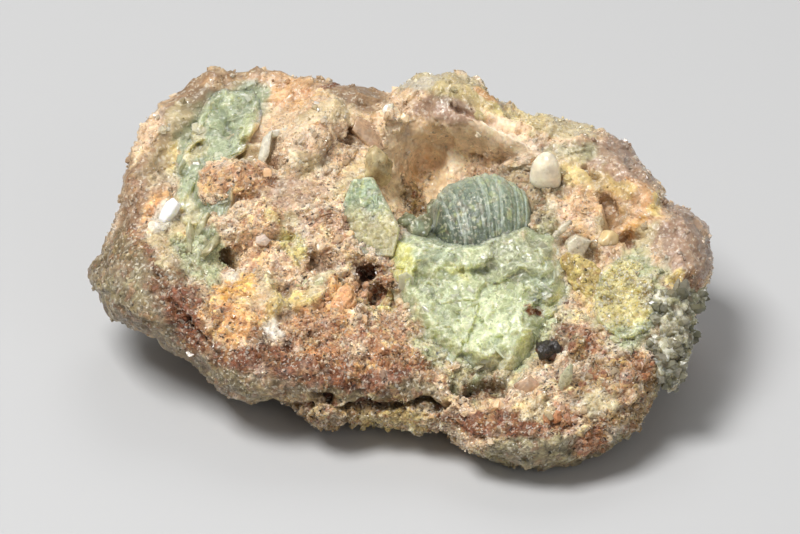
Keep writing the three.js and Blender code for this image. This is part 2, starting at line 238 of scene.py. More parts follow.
@dataclass(frozen=True)
class DisplayFrame:
    """The frame in which the specimen is described, tipped back from the part's frame.

    elevation: how far above the horizon the display direction points, in degrees.
    origin: where the display frame's origin lies in the part's frame, in millimetres.
    """

    elevation: float = 32.0
    origin: tuple[float, float, float] = (0.157, 4.420, 12.5)

    @property
    def axes(self) -> Array:
        """Directions of a, b and d in the part's frame, one in each row."""
        e = np.radians(self.elevation)
        return np.array([[1, 0, 0], [0, np.sin(e), np.cos(e)], [0, -np.cos(e), np.sin(e)]])

    def to_part(self, points: Array) -> Array:
        """Display millimetres to the part's metres."""
        return (points @ self.axes + self.origin) * MM

    def to_display(self, points: Array) -> Array:
        """The part's metres to display millimetres."""
        return (points / MM - self.origin) @ self.axes.T

    def resting(self, points: Array) -> Array:
        """Display millimetres to the part's metres, with nothing below the surface that it rests on."""
        part = self.to_part(points)
        return np.column_stack([part[:, :2], np.maximum(part[:, 2], 0.0)])

    def matrix(self, at: tuple[float, float, float] = (0.0, 0.0, 0.0)) -> Matrix:
        """Placement of an object whose own axes are a, b and d.

        Args:
            at: where its origin lies, in display millimetres.

        Returns:
            The placement in the part's frame.
        """
        place = np.eye(4)
        place[:3, :3] = self.axes.T
        place[:3, 3] = self.to_part(np.array(at))
        return Matrix(place.tolist())


class Side(Enum):
    """Which side of the rock a ray along the display direction comes from."""

    FRONT = 1
    BACK = -1


def make_object(name: str, points: Array, faces: list[Array], smooth: bool) -> Object:
    """Puts arrays of points and faces into a new mesh object at the origin.

    Args:
        name: the piece's name.
        points: vertices in the part's metres, with three columns.
        faces: one array for each kind of face, with a row of vertex numbers for each face.
        smooth: whether the faces are shaded smooth.

    Returns:
        The new object, already in the scene.
    """
    mesh = bpy.data.meshes.new(name)
    mesh.vertices.add(len(points))
    mesh.vertices.foreach_set("co", np.ascontiguousarray(points, dtype=np.float32).ravel())
    loops = np.concatenate([f.ravel() for f in faces]).astype(np.int32)
    sides = np.concatenate([np.full(len(f), f.shape[1]) for f in faces])
    mesh.loops.add(len(loops))
    mesh.loops.foreach_set("vertex_index", loops)
    mesh.polygons.add(len(sides))
    mesh.polygons.foreach_set("loop_start", (np.cumsum(sides) - sides).astype(np.int32))
    mesh.polygons.foreach_set("use_smooth", np.full(len(sides), smooth))
    mesh.update(calc_edges=True)
    piece = bpy.data.objects.new(name, mesh)
    bpy.context.scene.collection.objects.link(piece)
    return piece


def set_tint(piece: Object, tint: Array, grit: Array | float = 0.5) -> None:
    """Stores what the piece's material reads in each vertex.

    Args:
        piece: the piece.
        tint: a linear colour for each vertex.
        grit: how sandy the surface is, from 0 for glassy to 1.
    """
    last = np.broadcast_to(np.clip(grit, 0.0, 1.0), len(tint))
    rgba = np.column_stack([np.clip(tint, 0.0, 1.0), last])
    layer = piece.data.attributes.new(TINT, "FLOAT_COLOR", "POINT")
    layer.data.foreach_set("color", rgba.astype(np.float32).ravel())


def read_rows(items: Items, name: str, width: int, kind: type = np.float32) -> Array:
    """One property of all of a mesh's vertices, edges or loops.

    Args:
        items: the vertices, edges or loops.
        name: the property's name.
        width: how many numbers it has.
        kind: the numbers' type.

    Returns:
        An array with a row for each of them.
    """
    flat = np.empty(len(items) * width, kind)
    items.foreach_get(name, flat)
    return flat.reshape(-1, width)


def ring_faces(rows: int, columns: int) -> tuple[Array, Array, Array]:
    """Vertex numbers and faces of rings of points, one ring after another.

    Args:
        rows: how many rings there are.
        columns: how many points each ring has.

    Returns:
        The vertex numbers, those of the next point round each ring, and the four-sided faces.
    """
    numbers = np.arange(rows * columns).reshape(rows, columns)
    after = np.roll(numbers, -1, axis=1)
    quads = np.stack([numbers[:-1], numbers[1:], after[1:], after[:-1]], axis=-1)
    return numbers, after, quads.reshape(-1, 4)


def surface_depth(ab: Array, target: Object, frame: DisplayFrame, side: Side) -> Array:
    """Depth at which rays along the display direction first meet a surface.

    Args:
        ab: where the rays run, in display millimetres, with two columns.
        target: the object that they meet.
        frame: the display frame.
        side: where they come from.

    Returns:
        The depth d of each meeting point, or NaN for a ray that misses.
    """
    reach = 80.0 * side.value
    start = np.column_stack([ab, np.full(len(ab), reach)]) * MM
    probe = make_object("probe", start, [np.zeros((0, 3), int)], False)
    probe.matrix_world = frame.matrix()
    wrap = probe.modifiers.new("meet", "SHRINKWRAP")
    wrap.wrap_method = "PROJECT"
    wrap.use_project_z = True
    wrap.use_negative_direction = side is Side.FRONT
    wrap.use_positive_direction = side is Side.BACK
    wrap.target = target
    shown = probe.evaluated_get(bpy.context.evaluated_depsgraph_get())
    depth = read_rows(shown.data.vertices, "co", 3)[:, 2] / MM
    bpy.data.meshes.remove(probe.data)
    return np.where(np.abs(depth - reach) < 1.0, np.nan, depth)


@dataclass(frozen=True)
class DiscGrid:
    """A square grid drawn onto a disc, so that it has no pole: rings of the square become rings of
    the disc. A coarser grid behind it, or a fan of triangles to one point, closes it to a shell.

    cells: cells along each side of the square.
    crowding: how much closer together the rings are towards the border, from 0 to 1.
    coarse: cells of the front along one cell of the back; the cells divide by it.
    """

    cells: int
    crowding: float = 0.4
    coarse: int = 2

    def polar(self, coarse: int = 1) -> tuple[Array, Array]:
        """Share of the radius, and angle, of each grid point.

        The ring is the larger of |x| and |y|, and the angle turns evenly along each of its four sides.

        Args:
            coarse: how many cells are taken together.

        Returns:
            Two square arrays: share from 0 to 1, and angle in radians.
        """
        line = np.linspace(-1.0, 1.0, self.cells // coarse + 1)
        x, y = np.meshgrid(line, line)
        wide = np.abs(x) >= np.abs(y)
        safe_x = np.where(x == 0.0, 1.0, x)
        safe_y = np.where(y == 0.0, 1.0, y)
        across = np.where(x > 0.0, 0.0, np.pi) + np.pi / 4.0 * y / safe_x
        upright = np.where(y > 0.0, np.pi / 2.0, -np.pi / 2.0) - np.pi / 4.0 * x / safe_y
        ring = np.maximum(np.abs(x), np.abs(y))
        share = (1.0 - self.crowding) * ring + self.crowding * np.sin(np.pi / 2.0 * ring)
        return share, np.where(wide, across, upright)

    def border(self) -> tuple[Array, Array]:
        """Rows and columns of the border points, in order round the disc.

        Returns:
            Two arrays of whole numbers.
        """
        n = self.cells
        run = np.arange(n)
        zero = np.zeros(n, int)
        rows = np.concatenate([zero, run, zero + n, n - run])
        return rows, np.roll(rows, -n)

    def front_numbers(self) -> Array:
        """Vertex numbers of the grid."""
        n = self.cells + 1
        return np.arange(n * n).reshape(n, n)

    @staticmethod
    def quads(grid: Array) -> Array:
        """Four-sided faces of a grid of vertex numbers, facing along d."""
        corners = [grid[:-1, :-1], grid[:-1, 1:], grid[1:, 1:], grid[1:, :-1]]
        return np.stack(corners, axis=-1).reshape(-1, 4)

    def capped_faces(self) -> list[Array]:
        """Faces of the grid, and triangles from its border to one more vertex behind it.

        Returns:
            One array for each kind of face.
        """
        front = self.front_numbers()
        rim = front[self.border()]
        tip = np.full(len(rim), front.size)
        return [self.quads(front), np.stack([tip, np.roll(rim, -1), rim], axis=1)]

    def backed_faces(self) -> list[Array]:
        """Faces of the grid and of a coarser one behind it, whose border cells take up all the points
        of the shared border.

        Returns:
            One array for each kind of face.
        """
        front = self.front_numbers()
        n, s = self.cells, self.coarse
        m = n // s
        back = front[::s, ::s].copy()
        back[1:-1, 1:-1] = front.size + np.arange((m - 1) ** 2).reshape(m - 1, m - 1)
        k = np.arange(s + 1)
        j = np.arange(1, m - 1)
        runs = j[:, None] * s + k
        sides = [
            np.column_stack([front[0, runs], back[1, j + 1], back[1, j]]),
            np.column_stack([back[m - 1, j], back[m - 1, j + 1], front[n, runs[:, ::-1]]]),
            np.column_stack([back[j, 1], back[j + 1, 1], front[runs[:, ::-1], 0]]),
            np.column_stack([back[j, m - 1], front[runs, n], back[j + 1, m - 1]]),
        ]
        corners = [
            [*front[0, : s + 1], back[1, 1], *front[s:0:-1, 0]],
            [*front[0, n - s :], *front[1 : s + 1, n], back[1, m - 1]],
            [front[n - s, 0], back[m - 1, 1], *front[n, s::-1], *front[n - 1 : n - s : -1, 0]],
            [back[m - 1, m - 1], *front[n - s :, n], *front[n, n - 1 : n - s - 1 : -1]],
        ]
        behind = [self.quads(back[1:-1, 1:-1]), np.concatenate(sides), np.array(corners)]
        return [self.quads(front), *[faces[:, ::-1] for faces in behind]]

    @staticmethod
    def even_out(sheet: Array) -> None:
        """Moves each inner point of a grid halfway to the mean of its neighbours, in place."""
        mean = sheet[:-2, 1:-1] + sheet[2:, 1:-1] + sheet[1:-1, :-2] + sheet[1:-1, 2:]
        sheet[1:-1, 1:-1] = (sheet[1:-1, 1:-1] + mean / 4.0) / 2.0

    def relax(self, front: Array, rounds: int) -> None:
        """Evens out a grid and its border in place, again and again.

        Args:
            front: the grid's points.
            rounds: how often.
        """
        rim = self.border()
        for _ in range(rounds):
            edge = front[rim]
            along = (np.roll(edge, 1, axis=0) + np.roll(edge, -1, axis=0)) / 2.0
            self.even_out(front)
            front[rim] = 0.6 * edge + 0.4 * along

    @staticmethod
    def normals(sheet: Array) -> Array:
        """Directions out of a grid along d: the cross product of the steps along a row and a column."""
        return unit(np.cross(np.gradient(sheet, axis=1), np.gradient(sheet, axis=0)))


def furthest_crossing(edges: Array, angle: Array) -> Array:
    """How far rays from the origin run before they cross the last of a set of edges.

    Args:
        edges: both ends of each edge, as an array of edges by two by two.
        angle: directions of the rays in radians.

    Returns:
        One distance for each ray.
    """
    reach = np.zeros(angle.size)
    for block in np.array_split(np.arange(angle.size), max(1, angle.size * len(edges) // 2000000)):
        ray = np.stack([np.cos(angle.ravel()[block]), np.sin(angle.ravel()[block])])
        side = np.stack([-ray[1], ray[0]])
        s0 = edges[:, 0] @ side
        s1 = edges[:, 1] @ side
        r0 = edges[:, 0] @ ray
        r1 = edges[:, 1] @ ray
        share = s0 / np.where(s0 == s1, 1.0, s0 - s1)
        reach[block] = np.where(s0 * s1 <= 0.0, r0 + share * (r1 - r0), 0.0).max(axis=0)
    return reach.reshape(angle.shape)


# Minerals of the rock


@dataclass(frozen=True)
class MineralLook:
    """How one mineral of the rock looks.

    colour: its colour as a screen shows it, from 0 to 255.
    blocks: height of its larger blocks in millimetres.
    crumbs: height of its crumbs in millimetres.
    sugar: how thickly loose crystals cover it, from 0 to 1.
    clear: share of those crystals that are pale and glassy.
    grit: how sandy its surface is, from 0 for glassy to 1.
    """

    colour: Colour
    blocks: float
    crumbs: float
    sugar: float
    clear: float
    grit: float

    def row(self) -> Array:
        """The look as one row of numbers that can be blended."""
        rest = (self.blocks, self.crumbs, self.sugar, self.clear, self.grit)
        return np.array([*linear(self.colour), *rest])


class Mineral(Enum):
    """The rock's minerals and stains."""

    PINK = MineralLook((224, 194, 158), 0.8, 0.3, 0.8, 0.3, 0.8)
    ROSE = MineralLook((157, 129, 99), 0.45, 0.1, 0.08, 0.1, 0.3)
    SALMON = MineralLook((228, 174, 114), 0.5, 0.25, 0.3, 0.08, 0.6)
    ORANGE = MineralLook((238, 182, 94), 0.5, 0.25, 0.3, 0.05, 0.6)
    PEACH = MineralLook((224, 186, 144), 0.6, 0.24, 0.5, 0.2, 0.7)
    YELLOW = MineralLook((226, 204, 136), 0.4, 0.25, 0.4, 0.15, 0.5)
    LIME = MineralLook((214, 210, 130), 0.4, 0.3, 0.5, 0.1, 0.6)
    CREAM = MineralLook((210, 194, 154), 0.5, 0.2, 0.4, 0.4, 0.35)
    WHITE = MineralLook((242, 236, 222), 0.4, 0.2, 0.4, 0.5, 0.2)
    RUST = MineralLook((118, 70, 38), 0.5, 0.25, 0.25, 0.05, 0.7)
    RED = MineralLook((166, 112, 74), 0.5, 0.4, 0.9, 0.05, 1.0)
    UMBER = MineralLook((118, 86, 58), 0.5, 0.4, 0.3, 0.02, 0.8)
    RIND = MineralLook((127, 110, 79), 0.4, 0.12, 0.04, 0.08, 0.5)
    GREY_GREEN = MineralLook((137, 127, 96), 0.4, 0.12, 0.06, 0.15, 0.5)
    TAN = MineralLook((150, 120, 79), 0.5, 0.35, 0.5, 0.1, 1.0)
    GREY_PINK = MineralLook((178, 150, 128), 0.5, 0.12, 0.12, 0.2, 0.3)
    # Ridge and amber: pale minerals, made paler still as painted light for the shaded vug
    RIDGE = MineralLook((243, 220, 190), 0.2, 0.06, 0.05, 0.08, 0.35)
    AMBER = MineralLook((237, 211, 170), 0.6, 0.06, 0.02, 0.1, 0.12)
    GREEN = MineralLook((164, 172, 142), 0.5, 0.25, 0.6, 0.4, 0.25)
    MINT = MineralLook((198, 205, 164), 0.5, 0.3, 0.8, 0.4, 0.3)
    CELADON = MineralLook((180, 186, 145), 0.5, 0.3, 0.8, 0.35, 0.4)


@dataclass(frozen=True)
class Patch:
    """An oval patch of one mineral on the display face, its place and half sizes in millimetres.

    turn: how far it is turned anticlockwise, in degrees.
    """

    mineral: Mineral
    at: tuple[float, float]
    half: tuple[float, float]
    turn: float = 0.0
    strength: float = 1.0

    def weight(self, ab: Array, fray: Array) -> Array:
        """How far the patch covers each point, from 0 to its strength.

        Args:
            ab: points on the face, with two columns.
            fray: how far each point is pushed out or in, as a share of the patch's half size.

        Returns:
            One weight for each point.
        """
        away = np.hypot(*oval_place(ab, self.at, self.half, self.turn))
        return self.strength * smoothstep(1.2, 0.75, away + fray)


@dataclass(frozen=True)
class Cut:
    """A hole, crack or swelling of the display face: an oval, or a band between two points.

    depth: how deep it goes in millimetres; what stands out of the face has a depth below 0.
    """

    start: tuple[float, float]
    end: tuple[float, float]
    width: float
    depth: float

    def carve(self, ab: Array) -> Array:
        """Depth of the cut at each point: greatest on the line from start to end, and fading with a
        bell curve of the distance from that line.

        Args:
            ab: points on the face, with two columns.

        Returns:
            One depth for each point.
        """
        first = np.array(self.start)
        run = np.array(self.end) - first
        share = np.clip(((ab - first) @ run) / max(run @ run, 1e-9), 0.0, 1.0)
        away = np.linalg.norm(ab - first - share[..., None] * run, axis=-1)
        return self.depth * np.exp(-((away / self.width) ** 4))


M = Mineral
PATCHES = (
    Patch(M.ROSE, (-26, 20), (7, 2.4), 36),
    Patch(M.ROSE, (-17, 22.4), (9, 2), 2),
    Patch(M.ROSE, (-31.6, 11), (2.4, 9), -18),
    Patch(M.ROSE, (-6, 20.8), (5, 1.8), -4),
    Patch(M.RIND, (-31.8, -2), (7.6, 6.8), -35),
    Patch(M.GREY_GREEN, (-33.6, -2.6), (3, 2.6), -20, 0.7),
    Patch(M.RIND, (-22.5, -12), (11, 2.8), -30),
    Patch(M.GREY_GREEN, (-20.5, -13), (6, 1.2), -28, 0.7),
    Patch(M.RIND, (-4.6, -15.2), (11, 2.4), -3),
    Patch(M.TAN, (-4.4, -18.6), (10, 2.4), -2),
    Patch(M.YELLOW, (-0.6, -18.4), (5.6, 1.4), -4, 0.5),
    Patch(M.GREY_GREEN, (17, -22.4), (14, 2.6), 8),
    Patch(M.GREY_GREEN, (32, -13), (3.4, 8), -25),
    Patch(M.RUST, (-30, 3), (1.6, 8.6), 18, 0.6),
    Patch(M.SALMON, (-29.6, 6.6), (0.9, 4), 16),
    Patch(M.RUST, (-25, -6.4), (2.6, 4.6), 14),
    Patch(M.RUST, (-10, -11.9), (14, 2), -5),
    Patch(M.RED, (-6, -11), (9, 1.2), -6, 0.8),
    Patch(M.RUST, (-8, -13.6), (9, 1), -3, 0.6),
    Patch(M.CREAM, (-19.8, -3), (4.6, 2.4), 8, 0.5),
    Patch(M.SALMON, (-19.8, -6.2), (3.8, 3), 20),
    Patch(M.ORANGE, (-21.4, -2.8), (1.7, 1.2), 8, 0.9),
    Patch(M.ORANGE, (-18.6, -2.8), (1.2, 1.4), 8, 0.9),
    Patch(M.WHITE, (-20, -0.9), (1.8, 0.8), 10, 0.6),
    Patch(M.UMBER, (-17.4, -8.4), (1.4, 1), -20, 0.7),
    Patch(M.YELLOW, (-16, -4.2), (1.4, 2.4), -15, 0.7),
    Patch(M.PEACH, (-16, 0.4), (4.2, 1.8)),
    Patch(M.YELLOW, (-12.6, -3.8), (3.6, 1.5), 10),
    Patch(M.CREAM, (-9.4, -2.2), (2.6, 1.1), 25),
    Patch(M.WHITE, (-16.2, -7), (1.1, 1), 0, 0.9),
    Patch(M.UMBER, (-14.3, -2.4), (0.8, 1), 0, 0.8),
    Patch(M.RED, (-8.4, -3.6), (3, 0.5), 52, 0.8),
    Patch(M.SALMON, (-10.2, -7.8), (4.4, 2.6), -10, 0.7),
    Patch(M.CREAM, (-17.6, -3.4), (1.6, 1), 30, 0.6),
    Patch(M.GREY_PINK, (-13.6, -8.2), (1.8, 1.4), 0, 0.7),
    Patch(M.TAN, (-22.6, -4.8), (1, 2.6), 10, 0.6),
    Patch(M.RED, (-8.6, -9.2), (2.4, 1.2), 0, 0.6),
    Patch(M.PEACH, (-12.4, -6.8), (1.4, 0.8), 10, 0.8),
    Patch(M.ORANGE, (-11.8, -8.8), (1.4, 1), 0, 0.4),
    Patch(M.PEACH, (-6.4, 3.2), (3.2, 2.8), 0, 0.6),
    Patch(M.RED, (-3.4, -2.4), (2.4, 2.8), 0, 0.8),
    Patch(M.SALMON, (-7, -4.4), (1.7, 2.4)),
    Patch(M.PEACH, (-2.2, -9.6), (2.6, 2.4)),
    Patch(M.RED, (-10.8, -8), (3.8, 2.4), -10, 0.65),
    Patch(M.RED, (-1.6, -8.6), (4.2, 3.4), 0, 0.6),
    Patch(M.RED, (0.6, -11.2), (3.6, 1.3), -14),
    Patch(M.LIME, (-2, -4.2), (1.6, 0.9), -10, 0.8),
    Patch(M.GREY_PINK, (-13, 8.6), (5, 1.8), 8, 0.7),
    Patch(M.GREY_PINK, (-12.4, 5.4), (4, 3.4), 0, 0.35),
    Patch(M.PEACH, (-17.8, 3.8), (4, 2), 14),
    Patch(M.CREAM, (-9, 17.4), (3.2, 1.4), 12, 0.7),
    Patch(M.CREAM, (-11.2, 12), (2.6, 1.3), 14, 0.7),
    Patch(M.CREAM, (-5.6, 10.4), (2.4, 1.6), 30, 0.8),
    Patch(M.CREAM, (-18.2, 13), (2.4, 1.2), 24, 0.8),
    Patch(M.SALMON, (-20.6, 9.6), (4.2, 1.8), 10, 0.6),
    Patch(M.RED, (-16.4, 9.8), (1.6, 1.2), 0, 0.5),
    Patch(M.RED, (-20.6, 10.2), (3.4, 1.8), 10, 0.35),
    Patch(M.RED, (-8.4, 5), (2.6, 1.6), -50, 0.4),
    Patch(M.CREAM, (-28.8, 13.6), (1.7, 5.6), -22),
    Patch(M.CREAM, (-28.2, 10.4), (2.4, 1.4)),
    Patch(M.CREAM, (-27.6, 3), (2.2, 4), 4),
    Patch(M.WHITE, (-28.4, 5.6), (1.4, 1.6), 0, 0.7),
    Patch(M.CREAM, (-26.4, 17.8), (2.4, 1.6), 40),
    Patch(M.YELLOW, (-28.2, 12.2), (0.8, 2), -8, 0.7),
    Patch(M.PINK, (-30.6, 15.8), (1.2, 4.2), -28),
    Patch(M.PEACH, (-18, 22.2), (8, 1.4), 2, 0.6),
    Patch(M.ROSE, (-30.4, 10.6), (1.8, 5.4), -14, 0.6),
    Patch(M.SALMON, (-13.4, 20.6), (3.4, 1.6), -12, 0.5),
    Patch(M.RUST, (-9, 21), (1.8, 0.7)),
    Patch(M.GREEN, (-21.4, 17.8), (6.4, 3), 36),
    Patch(M.GREEN, (-25.4, 10.8), (1.8, 6), 6),
    Patch(M.CELADON, (-24.4, 1.4), (3, 2.8)),
    Patch(M.CELADON, (-22.6, -0.4), (1.2, 2.4), -14),
    # Painted light: the amber and ridge patches in the vug and above the fan are made paler against the
    # shade there
    Patch(M.AMBER, (1.6, 10.6), (4.4, 6.4), 6),
    Patch(M.SALMON, (1.6, 12.4), (2.2, 3), 20, 0.5),
    Patch(M.RIDGE, (4.4, 13.4), (2.6, 1.8), -30, 0.7),
    Patch(M.RIDGE, (0.2, 13.6), (2.4, 3.2), 0, 0.7),
    # Painted shadow: a dark tan patch in the vug left of the fan
    Patch(M.TAN, (1.8, 7.6), (2.2, 2.8)),
    Patch(M.RIDGE, (10.4, 15), (7.6, 2.8), -18),
    Patch(M.RED, (11.4, 12.8), (3, 1.2), -10, 0.3),
    Patch(M.GREY_PINK, (5, 18.4), (4.2, 1.6), -8),
    Patch(M.CREAM, (5.8, 22), (6.4, 2), -12),
    Patch(M.YELLOW, (7.4, 20.4), (4.2, 1.1), -26, 0.5),
    Patch(M.WHITE, (2.6, 22.2), (1.6, 1.2), 10, 0.7),
    Patch(M.SALMON, (10, 20.6), (1.6, 0.7), -30),
    Patch(M.GREY_GREEN, (6.4, 21.4), (6.4, 2.4), -16, 0.4),
    Patch(M.GREY_GREEN, (-23.6, 19.6), (6, 2), 38, 0.35),
    Patch(M.LIME, (14, 18), (4.6, 1.1), -18, 0.4),
    Patch(M.CREAM, (20.4, 16.6), (3.8, 1), -12),
    Patch(M.GREY_PINK, (26.2, 12.4), (4.8, 4.4), -40),
    Patch(M.CELADON, (20.6, 13.4), (3.6, 1.4), -6, 0.6),
    Patch(M.GREY_GREEN, (13.4, 10.2), (1.8, 2.4), 4, 0.6),
    # Painted shadow: dark grey-green and umber patches right of the fan
    Patch(M.GREY_GREEN, (17, 6.6), (2.6, 3.8)),
    Patch(M.UMBER, (16.8, 6.6), (2, 3.2), 0, 0.35),
    Patch(M.LIME, (16.8, 5.2), (1.5, 1.3), 20, 0.3),
    Patch(M.CREAM, (21.6, 2.8), (1.6, 1.4), 10),
    Patch(M.CREAM, (18.6, 7.2), (2, 1.4), 0, 0.7),
    Patch(M.CREAM, (20, 12), (2.4, 1.2), 0, 0.6),
    Patch(M.YELLOW, (22.8, 10), (2.4, 1.4), -20, 0.5),
    Patch(M.YELLOW, (20.8, 10.6), (1.8, 1.6), 0, 0.7),
    Patch(M.SALMON, (28.6, 7.6), (2.8, 1.9), -38, 0.6),
    Patch(M.YELLOW, (29.8, 7.2), (1, 1), 0, 0.8),
    Patch(M.PEACH, (21.4, 6.4), (3.2, 2.8)),
    Patch(M.PEACH, (25.6, 5), (2.8, 3.8), -14),
    Patch(M.TAN, (22.8, 3.8), (4.2, 1.8), -10, 0.4),
    Patch(M.YELLOW, (25.8, 9), (1.4, 0.8), -30, 0.6),
    Patch(M.TAN, (25, 6.2), (1.3, 2), -10, 0.5),
    Patch(M.CREAM, (24, 4.4), (1.4, 1), 20, 0.8),
    Patch(M.ORANGE, (27.6, 4.8), (0.9, 1.6), -20, 0.6),
    Patch(M.CREAM, (28.8, 2.2), (1.4, 3.4), -16),
    Patch(M.GREY_PINK, (33.8, 1.6), (3.8, 6.6)),
    Patch(M.RED, (33, -2.6), (2.4, 2), 0, 0.6),
    Patch(M.YELLOW, (32.2, -1.8), (0.9, 1.5), 10),
    Patch(M.YELLOW, (21.8, -1.6), (2, 3.6), 32),
    Patch(M.CELADON, (27, -4), (4.6, 5.6)),
    Patch(M.SALMON, (31.8, -6.6), (1.4, 3), -12),
    Patch(M.RED, (32.4, -8.6), (1.1, 1.8), -20),
    Patch(M.UMBER, (20, -9.2), (3.4, 2), -8),
    Patch(M.RED, (22.2, -8.8), (1.8, 1.6), 0, 0.7),
    Patch(M.UMBER, (25.2, -10.8), (1.6, 1), 0, 0.8),
    Patch(M.TAN, (24.4, -14.6), (6.2, 4.6), -20),
    Patch(M.PEACH, (25.4, -14.2), (2.6, 1.6), -20, 0.8),
    Patch(M.RED, (27.4, -12.6), (2, 2.2), -30, 0.7),
    Patch(M.TAN, (22.8, -13.4), (2.4, 1.8), 0, 0.7),
    Patch(M.CREAM, (22.6, -16.4), (2.6, 1.2), -14),
    Patch(M.PEACH, (12, -16.6), (6.2, 1.2), -6),
    Patch(M.RUST, (11.4, -18.8), (7, 1.5), -6),
    Patch(M.RED, (17.6, -18.4), (2.6, 1.6), 14),
    Patch(M.CREAM, (15.6, -17.4), (2, 1), 0, 0.8),
    Patch(M.RED, (22.2, -20.6), (2.2, 1.8), 24),
    Patch(M.UMBER, (9, -14.2), (3.6, 1), -10),
    Patch(M.CELADON, (10, -4.4), (9.6, 9.6)),
    Patch(M.LIME, (1, 0.8), (2.8, 2.6), 0, 0.8),
    Patch(M.LIME, (-13.4, 2.4), (1.3, 1.6), 0, 0.7),
    Patch(M.YELLOW, (-16, 4.6), (1.2, 0.7), -30),
    Patch(M.CREAM, (-13.6, 5.4), (1.4, 0.9), 20),
)
CUTS = (
    Cut((-4.6, -0.4), (-4.2, -1.6), 1.05, 2.4),
    Cut((-21.2, 1.5), (-20.8, 1), 0.8, 2.6),
    Cut((-11, 0.9), (-9.4, 0.2), 0.7, 2.2),
    Cut((-2.8, -3.8), (-1, -4.4), 0.9, 1.6),
    Cut((24.7, 7), (25.2, 5.2), 0.8, 1.3),
    Cut((26.6, 3.2), (27.4, 2.6), 0.8, 2.2),
    Cut((22, 2), (23.4, 1.4), 0.8, 1.8),
    Cut((22.5, 11.4), (23.1, 10.7), 0.5, 1.3),
    Cut((-7, 15.2), (-5.4, 16.4), 0.6, 1.8),
    Cut((-14.6, -2.4), (-14.2, -2.8), 0.8, 1.8),
    Cut((-10, -5.8), (-6.8, -1.4), 0.3, 0.9),
    Cut((-13.6, -16.3), (4.6, -16.4), 0.5, 1.8),
    Cut((6, -14.2), (12, -14.8), 0.7, 1.8),
    Cut((-27.6, -4), (-21.6, -12), 0.4, 0.8),
    Cut((14, 16), (6, 19.2), 0.4, 1),
    Cut((-24, 6.8), (-17.2, 7.6), 0.5, 1.2),
    Cut((-20.4, 13.2), (-15, 12.4), 0.6, 1.2),
    Cut((-17, 2.2), (-13.4, 3.4), 0.5, 1.2),
    Cut((-22.4, 9.4), (-17.8, 10.2), 2.1, -1.4),
    Cut((-21, 4.6), (-16.8, 5.4), 2.2, -1.4),
    Cut((-13, 14.2), (-9.4, 18), 2.5, -1.8),
    Cut((-10, 6.2), (-7.4, 2.2), 2, -1.1),
    Cut((-20.6, -6.2), (-19, -5.8), 2, -0.9),
    Cut((-16.4, -1.6), (-15.6, -4.8), 0.7, -0.9),
    Cut((-15.4, -5.2), (-11.2, -5.6), 0.8, -0.9),
    Cut((-11, -5.2), (-8.4, -3.4), 0.7, -0.9),
    Cut((-13, -1.6), (-8.6, -2.4), 0.6, -1),
    Cut((13.2, 9.4), (13.6, 11.4), 1.5, -1.6),
    Cut((16.4, 5.2), (17.2, 5.2), 1.1, -0.8),
    Cut((21.2, 2.8), (22, 2.8), 1, -0.9),
    Cut((21.6, 6.4), (22.4, 6), 1.7, -1),
    Cut((27.8, 10.4), (29.6, 8.4), 1.5, -1.1),
    Cut((18.4, -8.2), (21.6, -9.2), 1.4, -1.3),
    Cut((23, -13), (25.4, -13.8), 1.8, -0.8),
    Cut((-12.6, -8), (-10.2, -8.2), 1.3, -0.7),
    Cut((-2.8, -8.6), (-1.8, -10.2), 1.2, -0.8),
    Cut((-2, -2.4), (-1, -3.2), 1, -0.9),
)
# Clouds on the back: mineral, size in millimetres, seed, and the noise where one begins
CLOUDS = (
    (M.PINK, 9.0, 41, -0.1),
    (M.RUST, 6.0, 47, 0.25),
    (M.TAN, 5.0, 53, 0.2),
    (M.GREY_GREEN, 7.0, 59, 0.3),
    (M.CREAM, 4.0, 61, 0.45),
)
# Spots on sandy and pale minerals: colour, size in millimetres and seed
SPOTS = (
    ((240, 222, 168), 1.8, 113),
    ((168, 104, 74), 1.6, 121),
    ((224, 210, 198), 2.4, 127),
    ((236, 204, 124), 1.3, 131),
    ((132, 92, 64), 1.0, 137),
    ((240, 232, 216), 0.9, 139),
)


def blend_patches(points: Array, ab: Array, base: Mineral, patches: tuple[Patch, ...], seed: int) -> Array:
    """Blends patches over a face, each over those before it, with frayed edges.

    Args:
        points: surface points in display millimetres.
        ab: the same points' places on the face.
        base: the mineral where no patch lies.
        patches: the patches in order.
        seed: picks the fraying.

    Returns:
        One row of a mineral's look for each point.
    """
    warp = drift(points, 4.0, (seed, seed + 10), 4) + 0.3 * drift(points, 0.9, (seed + 2, seed + 12), 2)
    fray = 0.22 * fractal(points, 1.5, seed + 20, 3)
    look = np.broadcast_to(base.value.row(), (*points.shape[:-1], LOOK_COLUMNS))
    for patch in patches:
        look = mix(look, patch.mineral.value.row(), patch.weight(ab + warp, fray))
    return look


def face_look(points: Array, ab: Array) -> Array:
    """The display face's own minerals, one row of a look for each point."""
    return blend_patches(points, ab, M.PINK, PATCHES, 3)


